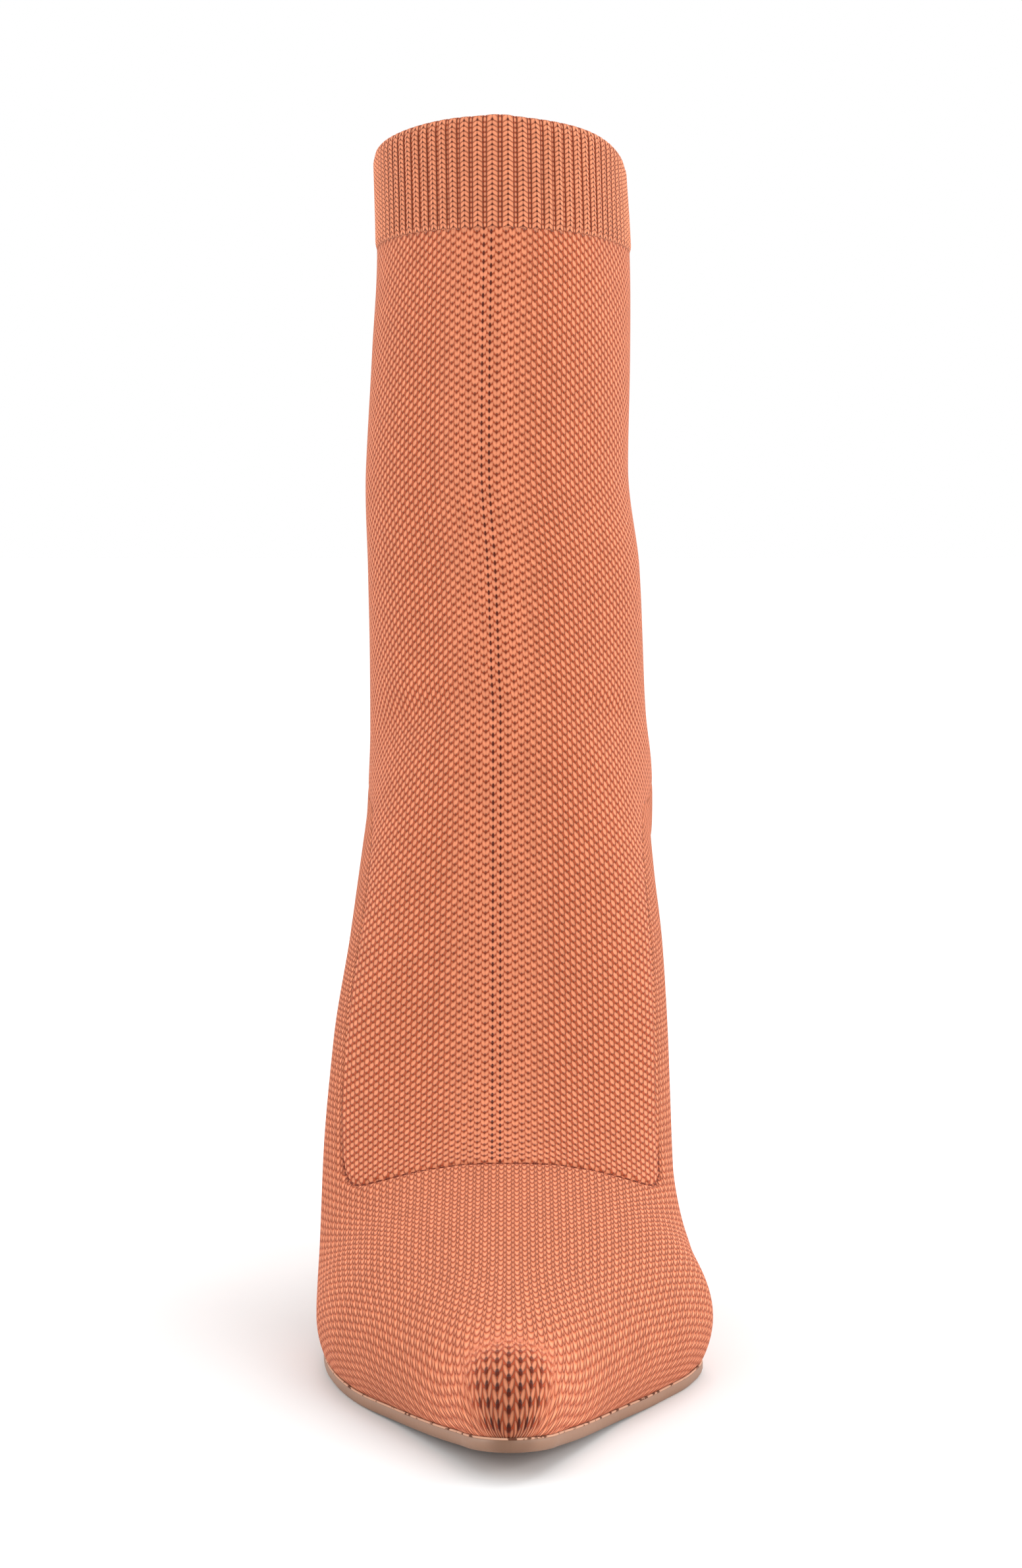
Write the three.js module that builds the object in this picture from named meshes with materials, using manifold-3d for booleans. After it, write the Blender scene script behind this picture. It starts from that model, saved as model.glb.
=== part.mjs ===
// An ankle boot for the right foot, with a pointed toe, a slim high heel and a knitted sock leg.
// A maker puts together six pieces: the upper (vamp and quarters in one closed piece), the shaft with its
// tongue-shaped front and ribbed cuff, the insole, the outsole, the heel and the heel's top piece.
// Lengths are in millimetres. "Along" runs from the toe tip to the heel, the toe faces -Y, the big-toe
// side faces +X, and +Z is up. The group stands on the floor, its bounding box centred on the origin.
import * as THREE from "three";
import { mergeVertices } from "three/addons/utils/BufferGeometryUtils.js";
import Module from "manifold-3d";

const wasm = await Module();
wasm.setup();

// Driving sizes.
const FOOT_LENGTH = 236; // toe tip to the back of the heel seat, measured along the floor
const SOLE_WIDTH = 80; // feather line across the ball
const UPPER_WIDTH = 86; // upper across the ball, at its widest
const VAMP_DEPTH = 38.2; // upper above the outsole, at the ball
const TOE_SPRING = 6; // toe tip above the tread line
const SEAT_LIFT = 80.4; // back of the heel seat above the tread line
const SHAFT_HEIGHT = 190.5; // collar front above the back of the heel seat
const COLLAR_WIDTH = 61;
const COLLAR_DEPTH = 78.5;
const CUFF_HEIGHT = 25; // ribbed band below the collar's edge
const COLLAR_CANT = 0.06; // how far the collar falls for each step towards the big-toe side
const CUFF_STEP = 0.5; // how far the ribbed band stands proud of the leg
const KNIT_WALL = 2.2;
const OUTSOLE_THICKNESS = 2.6;
const SOLE_EDGE_HEIGHT = 1.6; // upright part of the outsole's edge, above its bevel
const SOLE_EDGE = 0.4; // outsole beyond the feather line
const SOLE_BEVEL = 0.7; // how far the outsole's lower edge is drawn in
const INSOLE_THICKNESS = 3;
const INSOLE_CLEARANCE = 0.9; // insole edge to the upper's inner face
const INSOLE_TOE_SETBACK = 7; // insole tip behind the toe tip
const TOE_ROUND = 10; // length of the rounded end of the toe
const NOSE_ROUND = 13; // length over which the toe's profile rises from the feather line
const HEEL_ROUND = 30; // length of the rounded end of the seat
const HEEL_BREAST = 48; // heel seat, from its breast to the back
const HEEL_SEAT_INSET = 0.6; // heel edge inside the feather line
const HEEL_TIP_DEPTH = 12;
const HEEL_TIP_WIDTH = 12.5;
const HEEL_TIP_SETBACK = 7.5; // back of the heel tip in front of the back of the seat
const HEEL_TIP_ROUND = 0.6; // share of the heel tip's depth that is rounded at the back
const HEEL_WAIST_POWER = 3.2; // how fast the heel narrows below the seat
const TOP_PIECE_THICKNESS = 5.5;
const TOP_PIECE_EDGE = 0.3; // top piece beyond the heel tip
const SEAM_GAP = 0.3; // between the upper and the shaft along their seam
const GAP = 0.3; // between pieces that lie face to face

// How finely the curved forms are cut.
const RING_SEGMENTS = 36;
const LEG_RINGS = 2; // between two sections of the leg
const SEAM_STEPS = 96;
const HEEL_STATIONS = 12;
const HEEL_LEVELS = 12;

// The feather line in plan: half-widths on the big-toe and little-toe sides, as shares of SOLE_WIDTH.
// Both ends are rounded by roundEnd.
const SOLE_OUTLINE = [
  { along: 0.0, medial: 0.08, lateral: 0.075 },
  { along: 0.05, medial: 0.122, lateral: 0.114 },
  { along: 0.1, medial: 0.182, lateral: 0.178 },
  { along: 0.18, medial: 0.278, lateral: 0.286 },
  { along: 0.26, medial: 0.398, lateral: 0.404 },
  { along: 0.32, medial: 0.482, lateral: 0.462 },
  { along: 0.37, medial: 0.516, lateral: 0.49 },
  { along: 0.42, medial: 0.5, lateral: 0.5 },
  { along: 0.48, medial: 0.435, lateral: 0.482 },
  { along: 0.56, medial: 0.35, lateral: 0.42 },
  { along: 0.65, medial: 0.3, lateral: 0.35 },
  { along: 0.742, medial: 0.3, lateral: 0.335 },
  { along: 0.826, medial: 0.336, lateral: 0.352 },
  { along: 1.0, medial: 0.362, lateral: 0.37 },
];

// The line that the sole follows from the tread to the heel seat: its rise as a share of SEAT_LIFT.
const SOLE_RISE = [
  { along: 0.0, lift: 0 },
  { along: 0.41, lift: 0 },
  { along: 0.475, lift: 0.04 },
  { along: 0.55, lift: 0.19 },
  { along: 0.635, lift: 0.415 },
  { along: 0.72, lift: 0.64 },
  { along: 0.8, lift: 0.812 },
  { along: 0.9, lift: 0.928 },
  { along: 1.0, lift: 1 },
];
const SPRING_END = 0.28; // share of FOOT_LENGTH where the toe spring meets the floor
const END_ZONE = 0.25; // share of FOOT_LENGTH over which an inset piece's stations close up at each end

// Sections of the foot, each a plane from the ridge (top) down to the sole. top and sole are shares of
// FOOT_LENGTH, rise of VAMP_DEPTH above the sole, medial and lateral (widest half-widths) of UPPER_WIDTH.
// widest is how far down the section its widest place lies, and power its squareness.
const FOOT_SECTIONS = [
  { top: 0.0, sole: 0.0, rise: 0.35, medial: 0.082, lateral: 0.076, widest: 0.66, power: 2, rings: 6 },
  { top: 0.089, sole: 0.089, rise: 0.49, medial: 0.17, lateral: 0.165, widest: 0.7, power: 2, rings: 2 },
  { top: 0.153, sole: 0.153, rise: 0.62, medial: 0.247, lateral: 0.252, widest: 0.72, power: 2, rings: 2 },
  { top: 0.235, sole: 0.235, rise: 0.77, medial: 0.366, lateral: 0.368, widest: 0.74, power: 2, rings: 2 },
  { top: 0.305, sole: 0.305, rise: 0.885, medial: 0.46, lateral: 0.446, widest: 0.75, power: 2, rings: 2 },
  { top: 0.373, sole: 0.373, rise: 0.975, medial: 0.51, lateral: 0.482, widest: 0.74, power: 2, rings: 3 },
  { top: 0.435, sole: 0.45, rise: 1.04, medial: 0.476, lateral: 0.488, widest: 0.69, power: 2.15, rings: 3 },
  { top: 0.512, sole: 0.567, rise: 0.94, medial: 0.43, lateral: 0.489, widest: 0.62, power: 2.35, rings: 3 },
  { top: 0.576, sole: 0.686, rise: 0.806, medial: 0.427, lateral: 0.472, widest: 0.58, power: 2.4, rings: 2 },
  { top: 0.621, sole: 0.797, rise: 0.76, medial: 0.419, lateral: 0.438, widest: 0.55, power: 2.35, rings: 2 },
  { top: 0.646, sole: 0.898, rise: 0.906, medial: 0.405, lateral: 0.42, widest: 0.53, power: 2.3, rings: 2 },
  { top: 0.661, sole: 0.97, rise: 1.107, medial: 0.397, lateral: 0.408, widest: 0.52, power: 2.25, rings: 3 },
  { top: 0.667, sole: 1.0, rise: 1.257, medial: 0.392, lateral: 0.4, widest: 0.51, power: 2.2, rings: 2 },
];

// Sections of the heel cup and the leg, all closed. front and back are rises above the seat, as shares of
// SHAFT_HEIGHT, centre is a share of FOOT_LENGTH, depth of COLLAR_DEPTH, and medial, lateral and shift
// (towards the big-toe side) of COLLAR_WIDTH.
const LEG_SECTIONS = [
  { front: 0.292, back: 0.113, centre: 0.848, depth: 1.041, medial: 0.546, lateral: 0.55, shift: 0.0 },
  { front: 0.328, back: 0.205, centre: 0.848, depth: 1.015, medial: 0.541, lateral: 0.545, shift: -0.005 },
  { front: 0.379, back: 0.328, centre: 0.835, depth: 0.917, medial: 0.537, lateral: 0.541, shift: -0.01 },
  { front: 0.462, back: 0.446, centre: 0.829, depth: 0.864, medial: 0.532, lateral: 0.536, shift: -0.02 },
  { front: 0.585, back: 0.574, centre: 0.835, depth: 0.879, medial: 0.51, lateral: 0.52, shift: -0.043 },
  { front: 0.728, back: 0.708, centre: 0.846, depth: 0.924, medial: 0.515, lateral: 0.5, shift: -0.04 },
  { front: 0.862, back: 0.826, centre: 0.857, depth: 0.964, medial: 0.508, lateral: 0.486, shift: -0.034 },
  { front: 1.0, back: 0.928, centre: 0.866, depth: 1.0, medial: 0.488, lateral: 0.495, shift: -0.034 },
];
const LEG_WIDEST = 0.5;
const LEG_POWER = 2.1;
const CANT_SECTIONS = 3; // sections below the collar over which its cant comes in

// The seam between upper and shaft: section numbers, counted through both tables, and angles from the ridge.
const SEAM = [
  { section: 5.9, angle: 0 },
  { section: 5.98, angle: 20 },
  { section: 6.2, angle: 41 },
  { section: 6.45, angle: 54 },
  { section: 6.85, angle: 61 },
  { section: 8.0, angle: 62 },
  { section: 9.5, angle: 62 },
  { section: 10.5, angle: 64 },
  { section: 11.5, angle: 69 },
  { section: 12.35, angle: 80 },
  { section: 12.9, angle: 97 },
  { section: 13.4, angle: 119 },
  { section: 13.8, angle: 146 },
  { section: 14.05, angle: 180 },
];

const COLOURS = { knit: 0xe08a66, insole: 0xd8c3ac, sole: 0xa0785a, heel: 0xd9835f, topPiece: 0x3a2c25 };

// A smooth curve through a table's values that never overshoots them.
function through(xs, ys) {
  const slopes = xs.slice(1).map((x, i) => (ys[i + 1] - ys[i]) / (x - xs[i]));
  const tangents = xs.map((x, i) => {
    if (i === 0) return slopes[0];
    if (i === xs.length - 1) return slopes[i - 1];
    const [before, after] = [slopes[i - 1], slopes[i]];
    return before * after <= 0 ? 0 : (2 * before * after) / (before + after);
  });
  return (x) => {
    let i = xs.findIndex((edge) => x < edge) - 1;
    if (i < -1) i = xs.length - 2;
    i = Math.max(0, i);
    const width = xs[i + 1] - xs[i];
    const t = (x - xs[i]) / width;
    const [t2, t3] = [t * t, t * t * t];
    return (
      (2 * t3 - 3 * t2 + 1) * ys[i] +
      (t3 - 2 * t2 + t) * width * tangents[i] +
      (3 * t2 - 2 * t3) * ys[i + 1] +
      (t3 - t2) * width * tangents[i + 1]
    );
  };
}

// 0 at an end and 1 once past its rounded length: a quarter circle in plan or profile.
function roundEnd(distance, length) {
  const left = 1 - Math.min(Math.max(distance / length, 0), 1);
  return Math.sqrt(1 - left * left);
}

const outlineAlong = SOLE_OUTLINE.map((row) => row.along * FOOT_LENGTH);
const medialOutline = through(outlineAlong, SOLE_OUTLINE.map((row) => row.medial * SOLE_WIDTH));
const lateralOutline = through(outlineAlong, SOLE_OUTLINE.map((row) => row.lateral * SOLE_WIDTH));
const riseAlong = through(
  SOLE_RISE.map((row) => row.along * FOOT_LENGTH),
  SOLE_RISE.map((row) => row.lift * SEAT_LIFT),
);

// Half-widths of the feather line at a place along the sole, drawn in by inset all round.
function outline(along, inset) {
  const ends = roundEnd(along - inset, TOE_ROUND) * roundEnd(FOOT_LENGTH - inset - along, HEEL_ROUND);
  return {
    medial: (medialOutline(along) - inset) * ends,
    lateral: (lateralOutline(along) - inset) * ends,
  };
}

// Height of the outsole's top face.
function soleTop(along) {
  const spring = Math.max(0, 1 - along / (SPRING_END * FOOT_LENGTH));
  return OUTSOLE_THICKNESS + TOE_SPRING * spring * spring + Math.max(0, riseAlong(along));
}

// The two section tables as one list in millimetres.
const sections = [
  ...FOOT_SECTIONS.map((row) => ({
    topAlong: row.top * FOOT_LENGTH,
    topHeight: soleTop(row.sole * FOOT_LENGTH) + row.rise * VAMP_DEPTH,
    lowAlong: row.sole * FOOT_LENGTH,
    lowHeight: soleTop(row.sole * FOOT_LENGTH),
    medial: row.medial * UPPER_WIDTH,
    lateral: row.lateral * UPPER_WIDTH,
    widest: row.widest,
    power: row.power,
    shift: 0,
    rings: row.rings,
  })),
  ...LEG_SECTIONS.map((row) => ({
    topAlong: row.centre * FOOT_LENGTH - (row.depth * COLLAR_DEPTH) / 2,
    topHeight: soleTop(FOOT_LENGTH) + row.front * SHAFT_HEIGHT,
    lowAlong: row.centre * FOOT_LENGTH + (row.depth * COLLAR_DEPTH) / 2,
    lowHeight: soleTop(FOOT_LENGTH) + row.back * SHAFT_HEIGHT,
    medial: row.medial * COLLAR_WIDTH,
    lateral: row.lateral * COLLAR_WIDTH,
    widest: LEG_WIDEST,
    power: LEG_POWER,
    shift: row.shift * COLLAR_WIDTH,
    rings: LEG_RINGS,
  })),
];
const SEAT_END = FOOT_SECTIONS.length - 1; // the section that closes at the back of the seat
const COLLAR = sections.length - 1;
const SEAT_START = SEAT_END - 4; // from here the lower curve turns from a lasted edge into a closed back
const numbers = sections.map((_, i) => i);
const columns = Object.keys(sections[0]);
const along = Object.fromEntries(
  columns.map((name) => [name, through(numbers, sections.map((section) => section[name]))]),
);

// A point of the boot's front ridge in side view: [along, height].
function ridge(number) {
  const place = along.topAlong(number);
  const low = soleTopAt(number);
  const height = along.topHeight(number);
  return [place, low + (height - low) * roundEnd(place, NOSE_ROUND)];
}

function soleTopAt(number) {
  return number < SEAT_END ? soleTop(along.lowAlong(number)) : along.lowHeight(number);
}

function heelLine(number) {
  return [along.lowAlong(number), soleTopAt(number)];
}

// A point of a side-view line moved inwards by inset, square to the line. turn is 1 for the ridge, which
// has the foot on its right when followed upwards, and -1 for the back of the heel.
function drawnIn(line, number, inset, turn) {
  const step = 0.02;
  const from = line(Math.max(0, number - step));
  const to = line(Math.min(COLLAR, number + step));
  const [ahead, up] = [to[0] - from[0], to[1] - from[1]];
  const length = Math.hypot(ahead, up);
  const [place, height] = line(number);
  return [place + (turn * inset * up) / length, height - (turn * inset * ahead) / length];
}

// A place along the whole sole as it falls in a piece that runs from one place to another: only the two end
// zones are squeezed or stretched, so that pieces which lie on each other share their stations in between.
function between(place, from, to) {
  const nearToe = Math.max(0, 1 - place / (END_ZONE * FOOT_LENGTH));
  const nearHeel = Math.max(0, 1 - (FOOT_LENGTH - place) / (END_ZONE * FOOT_LENGTH));
  return place + from * nearToe + (to - FOOT_LENGTH) * nearHeel;
}

// The section plane and half-widths at a section number, drawn in by inset, with the wall's foot lifted off
// the sole by GAP.
function sectionAt(number, inset) {
  const open = number < SEAT_END;
  const top = drawnIn(ridge, number, inset, 1);
  const lowAlong = between(along.lowAlong(number), inset, FOOT_LENGTH - inset);
  const low = open || number === SEAT_END
    ? [lowAlong, soleTop(lowAlong) + GAP]
    : blendLow(number, inset);
  const edge = open ? outline(lowAlong, inset) : { medial: 0, lateral: 0 };
  const toe = number < SEAT_START ? roundEnd(lowAlong - inset, TOE_ROUND) : 1;
  const turned = Math.min(Math.max((number - SEAT_START) / (SEAT_END - SEAT_START), 0), 1);
  return {
    top: [top[0], Math.max(top[1], low[1])],
    low,
    medial: Math.max((along.medial(number) - inset) * toe, edge.medial),
    lateral: Math.max((along.lateral(number) - inset) * toe, edge.lateral),
    edge,
    widest: along.widest(number),
    power: along.power(number),
    roundness: 1 + turned,
    shift: along.shift(number),
    cant: COLLAR_CANT * Math.max(0, 1 - (COLLAR - number) / CANT_SECTIONS) ** 2,
  };
}

// The back of a closed section, drawn in square to the back line once clear of the seat's corner.
function blendLow(number, inset) {
  const [place, height] = drawnIn(heelLine, number, inset, -1);
  const share = Math.min(number - SEAT_END, 1);
  const corner = FOOT_LENGTH - inset;
  return [
    corner + (place - corner) * share + (heelLine(number)[0] - FOOT_LENGTH) * (1 - share),
    height * share + (heelLine(number)[1] + GAP) * (1 - share),
  ];
}

// A point of a section: angle 0 is the ridge, 180 the foot or back, positive on the little-toe side.
function sectionPoint(section, angle) {
  const turn = THREE.MathUtils.degToRad(Math.abs(angle));
  const side = angle < 0 ? "medial" : "lateral";
  const [sin, cos] = [Math.sin(turn), Math.cos(turn)];
  let down;
  let width;
  if (Math.abs(angle) <= 90) {
    down = section.widest * (1 - Math.pow(Math.max(cos, 0), 2 / section.power));
    width = section[side] * Math.pow(Math.max(sin, 0), 2 / section.power);
  } else {
    down = section.widest - (1 - section.widest) * cos;
    const { roundness } = section;
    const edge = Math.pow(Math.max(section.edge[side], 0), roundness);
    const full = Math.pow(Math.max(section[side], 0), roundness);
    width = Math.pow(edge + (full - edge) * sin * sin, 1 / roundness);
  }
  const x = section.shift + (angle < 0 ? width : -width);
  return new THREE.Vector3(
    x,
    section.top[0] + (section.low[0] - section.top[0]) * down,
    section.top[1] + (section.low[1] - section.top[1]) * down - section.cant * Math.max(x, 0),
  );
}

// Section numbers of the rings, closer together at the toe's nose and at the back of the seat, with the
// cuff's step between two rings.
function ringNumbers() {
  const found = [];
  sections.slice(0, COLLAR).forEach(({ rings }, number) => {
    for (let i = 0; i < rings; i += 1) {
      const share = i / rings;
      if (number === 0) found.push(share * share);
      else if (number === SEAT_END - 1) found.push(number + 1 - (1 - share) * (1 - share));
      else found.push(number + share);
    }
  });
  found.push(COLLAR);
  return found;
}

// The section number at which the cuff begins, measured down the ridge from the collar.
function cuffNumber() {
  const target = along.topHeight(COLLAR) - CUFF_HEIGHT;
  let [below, above] = [SEAT_END, COLLAR];
  for (let i = 0; i < 40; i += 1) {
    const middle = (below + above) / 2;
    if (along.topHeight(middle) < target) below = middle;
    else above = middle;
  }
  return below;
}

const ringAngles = Array.from({ length: RING_SEGMENTS + 1 }, (_, j) => -180 + (360 * j) / RING_SEGMENTS);

// A closed solid from quads given as corner points: corners that fall together are merged.
function closedGeometry(quads) {
  const positions = [];
  quads.forEach(([a, b, c, d]) => {
    [a, b, c, a, c, d].forEach((point) => positions.push(point.x, point.y, point.z));
  });
  const loose = new THREE.BufferGeometry().setAttribute(
    "position",
    new THREE.Float32BufferAttribute(positions, 3),
  );
  const merged = mergeVertices(loose, 1e-3);
  const index = [];
  const all = merged.index.array;
  for (let i = 0; i < all.length; i += 3) {
    const [a, b, c] = [all[i], all[i + 1], all[i + 2]];
    if (a !== b && b !== c && a !== c) index.push(a, b, c);
  }
  merged.setIndex(index);
  return merged;
}

function toManifold(geometry) {
  return new wasm.Manifold(
    new wasm.Mesh({
      numProp: 3,
      vertProperties: new Float32Array(geometry.getAttribute("position").array),
      triVerts: new Uint32Array(geometry.index.array),
    }),
  );
}

function fromManifold(solid) {
  const { vertProperties, triVerts } = solid.getMesh();
  return new THREE.BufferGeometry()
    .setAttribute("position", new THREE.BufferAttribute(new Float32Array(vertProperties), 3))
    .setIndex(new THREE.BufferAttribute(new Uint32Array(triVerts), 1));
}

// The knitted wall from toe to collar, open underneath and at the collar, as one closed solid.
function knitWall() {
  const cuff = cuffNumber();
  const stepWidth = 0.004; // of a section, so that the step is nearly square
  const clearance = 0.1; // of a section, between the step and the next ring
  const clear = ringNumbers().filter((number) => Math.abs(number - cuff) > clearance);
  const rings = [...clear, cuff, cuff + stepWidth].sort((a, b) => a - b);
  const outer = rings.map((n) => {
    const section = sectionAt(n, n > cuff ? -CUFF_STEP : 0);
    return ringAngles.map((angle) => sectionPoint(section, angle));
  });
  const inner = rings.map((n) => {
    const section = sectionAt(n, KNIT_WALL);
    return ringAngles.map((angle) => sectionPoint(section, angle));
  });
  const quads = [];
  const last = rings.length - 1;
  const seatRing = rings.indexOf(SEAT_END);
  for (let i = 0; i < last; i += 1) {
    for (let j = 0; j < RING_SEGMENTS; j += 1) {
      quads.push([outer[i][j], outer[i + 1][j], outer[i + 1][j + 1], outer[i][j + 1]]);
      quads.push([inner[i][j], inner[i][j + 1], inner[i + 1][j + 1], inner[i + 1][j]]);
    }
    if (i < seatRing) {
      const end = RING_SEGMENTS;
      quads.push([outer[i][0], inner[i][0], inner[i + 1][0], outer[i + 1][0]]);
      quads.push([outer[i + 1][end], inner[i + 1][end], inner[i][end], outer[i][end]]);
    }
  }
  for (let j = 0; j < RING_SEGMENTS; j += 1) {
    quads.push([outer[last][j], inner[last][j], inner[last][j + 1], outer[last][j + 1]]);
  }
  return closedGeometry(quads);
}

// A thin blade that follows the seam through the wall, SEAM_GAP thick.
function seamBlade() {
  const steps = SEAM.map((_, i) => i);
  const section = through(steps, SEAM.map((row) => row.section));
  const angle = through(steps, SEAM.map((row) => row.angle));
  const reach = 2; // past both faces of the wall
  const places = [];
  for (let k = 0; k < SEAM_STEPS; k += 1) {
    const round = (2 * k) / SEAM_STEPS - 1; // -1 to 1, from the back by the big-toe side to the back again
    const at = Math.abs(round) * (SEAM.length - 1);
    const turned = Math.sign(round) * angle(at);
    const outer = sectionPoint(sectionAt(section(at), 0), turned);
    const inner = sectionPoint(sectionAt(section(at), KNIT_WALL), turned);
    const outwards = outer.clone().sub(inner).normalize();
    places.push({
      outwards,
      outer: outer.addScaledVector(outwards, reach),
      inner: inner.addScaledVector(outwards, -reach),
    });
  }
  const rows = places.map((place, k) => {
    const before = places[(k + SEAM_STEPS - 1) % SEAM_STEPS].outer;
    const after = places[(k + 1) % SEAM_STEPS].outer;
    const across = after.clone().sub(before).cross(place.outwards).normalize().multiplyScalar(SEAM_GAP / 2);
    return [
      place.outer.clone().add(across),
      place.inner.clone().add(across),
      place.inner.clone().sub(across),
      place.outer.clone().sub(across),
    ];
  });
  // The two broad sides split along matching diagonals, so that they stay apart where the blade twists.
  const quads = rows.flatMap((row, k) => {
    const next = rows[(k + 1) % SEAM_STEPS];
    return [
      [row[0], row[1], next[1], next[0]],
      [row[1], row[2], next[2], next[1]],
      [row[3], next[3], next[2], row[2]],
      [row[3], row[0], next[0], next[3]],
    ];
  });
  return closedGeometry(quads);
}

// Upper and shaft, cut apart along the seam. The upper is the piece that reaches lower.
function knitPieces() {
  const wall = toManifold(knitWall());
  const pieces = wall.subtract(toManifold(seamBlade())).decompose();
  pieces.sort((a, b) => a.boundingBox().min[2] - b.boundingBox().min[2]);
  return pieces.map(fromManifold);
}

// A solid made of stacked levels, each a grid of points [station][column]: its first grid is the top face,
// its last one the bottom face, and the levels' edges are joined by walls.
function stacked(levels) {
  const quads = [];
  const stations = levels[0].length;
  const columns = levels[0][0].length;
  const [top, bottom] = [levels[0], levels[levels.length - 1]];
  for (let i = 0; i < stations - 1; i += 1) {
    for (let j = 0; j < columns - 1; j += 1) {
      quads.push([top[i][j], top[i][j + 1], top[i + 1][j + 1], top[i + 1][j]]);
      quads.push([bottom[i][j], bottom[i + 1][j], bottom[i + 1][j + 1], bottom[i][j + 1]]);
    }
  }
  const rims = levels.map((grid) => [
    ...grid[0],
    ...grid.slice(1, -1).map((row) => row[columns - 1]),
    ...[...grid[stations - 1]].reverse(),
    ...grid.slice(1, -1).reverse().map((row) => row[0]),
  ]);
  for (let level = 0; level < levels.length - 1; level += 1) {
    rims[level].forEach((point, k) => {
      const next = (k + 1) % rims[level].length;
      quads.push([point, rims[level + 1][k], rims[level + 1][next], rims[level][next]]);
    });
  }
  return closedGeometry(quads);
}

// Stations of a sole piece from its toe end to its heel end: those of the upper's rings.
function soleStations(from, to) {
  return ringNumbers()
    .filter((number) => number <= SEAT_END)
    .map((number) => between(along.lowAlong(number), from, to));
}

// One face of a sole-shaped piece: three columns from the little-toe edge to the big-toe edge.
function soleFace(places, inset, height) {
  return places.map((place) => {
    const { medial, lateral } = outline(place, inset);
    return [-lateral, 0, medial].map((x) => new THREE.Vector3(x, place, height(place)));
  });
}

function outsole() {
  const places = soleStations(-SOLE_EDGE, FOOT_LENGTH + SOLE_EDGE);
  const lower = soleStations(-SOLE_EDGE + SOLE_BEVEL, FOOT_LENGTH + SOLE_EDGE - SOLE_BEVEL);
  return stacked([
    soleFace(places, -SOLE_EDGE, soleTop),
    soleFace(places, -SOLE_EDGE, (place) => soleTop(place) - SOLE_EDGE_HEIGHT),
    soleFace(lower, SOLE_BEVEL - SOLE_EDGE, (place) => soleTop(place) - OUTSOLE_THICKNESS),
  ]);
}

function insole() {
  const inset = KNIT_WALL + INSOLE_CLEARANCE;
  const places = soleStations(INSOLE_TOE_SETBACK, FOOT_LENGTH - inset);
  return stacked([
    soleFace(places, inset, (place) => soleTop(place) + GAP + INSOLE_THICKNESS),
    soleFace(places, inset, (place) => soleTop(place) + GAP),
  ]);
}

// Stations of the heel from its breast (0) to its back (1), closer together at the round back.
const quarterTurn = Math.PI / 2;
const heelShares = Array.from({ length: HEEL_STATIONS + 1 }, (_, i) =>
  Math.sin((quarterTurn * i) / HEEL_STATIONS),
);

// The heel tip's outline at a share of its depth, grown by edge.
function tipRow(share, edge) {
  const back = FOOT_LENGTH - HEEL_TIP_SETBACK + edge;
  const depth = HEEL_TIP_DEPTH + 2 * edge;
  const half = (HEEL_TIP_WIDTH / 2 + edge) * roundEnd(1 - share, HEEL_TIP_ROUND);
  return { place: back - depth * (1 - share), medial: half, lateral: half };
}

function heelRow(share) {
  const place = FOOT_LENGTH - HEEL_SEAT_INSET - (HEEL_BREAST - HEEL_SEAT_INSET) * (1 - share);
  return { place, ...outline(place, HEEL_SEAT_INSET) };
}

// The heel under the seat, narrowing quickly from the seat's outline to the tip.
function heel() {
  const tipHeight = TOP_PIECE_THICKNESS + GAP;
  const levels = Array.from({ length: HEEL_LEVELS + 1 }, (_, v) => {
    const fall = v / HEEL_LEVELS;
    const narrowed = 1 - Math.pow(1 - fall, HEEL_WAIST_POWER);
    return heelShares.map((share) => {
      const [seat, tip] = [heelRow(share), tipRow(share, 0)];
      const mix = (a, b, t) => a + (b - a) * t;
      const seatHeight = soleTop(seat.place) - OUTSOLE_THICKNESS - GAP;
      const place = mix(seat.place, tip.place, narrowed);
      const height = mix(seatHeight, tipHeight, fall);
      const medial = mix(seat.medial, tip.medial, narrowed);
      const lateral = mix(seat.lateral, tip.lateral, narrowed);
      return [-lateral, 0, medial].map((x) => new THREE.Vector3(x, place, height));
    });
  });
  return stacked(levels);
}

function topPiece() {
  const face = (height) =>
    heelShares.map((share) => {
      const { place, medial, lateral } = tipRow(share, TOP_PIECE_EDGE);
      return [-lateral, 0, medial].map((x) => new THREE.Vector3(x, place, height));
    });
  return stacked([face(TOP_PIECE_THICKNESS), face(0)]);
}

function piece(name, geometry, color, roughness) {
  geometry.computeVertexNormals();
  const mesh = new THREE.Mesh(geometry, new THREE.MeshStandardMaterial({ color, roughness, metalness: 0 }));
  mesh.name = name;
  return mesh;
}

const [upperGeometry, shaftGeometry, ...spare] = knitPieces();
if (spare.length) throw new Error("the seam cuts the wall into more than two pieces");

const boot = new THREE.Group();
boot.add(
  piece("upper", upperGeometry, COLOURS.knit, 0.9),
  piece("shaft", shaftGeometry, COLOURS.knit, 0.9),
  piece("insole", insole(), COLOURS.insole, 0.8),
  piece("outsole", outsole(), COLOURS.sole, 0.45),
  piece("heel", heel(), COLOURS.heel, 0.6),
  piece("top_piece", topPiece(), COLOURS.topPiece, 0.6),
);
const box = new THREE.Box3().setFromObject(boot);
const middle = box.getCenter(new THREE.Vector3());
boot.position.set(-middle.x, -middle.y, -box.min.z);

export default boot;
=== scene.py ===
"""The ankle boot, dressed: a knitted sock boot for the right foot on a slim covered heel.

Lengths are in millimetres in the last's own frame until a mesh is made: x runs towards the big-toe side, y
from the toe tip to the heel and z up from the floor. A section number counts the cross-sections from the toe
tip to the collar, and an angle runs round a section from the ridge, positive on the little-toe side.
"""
import logging
import math
from dataclasses import dataclass, field
from enum import Enum
from typing import Any, Callable, Iterable, NamedTuple, Sequence

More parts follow.
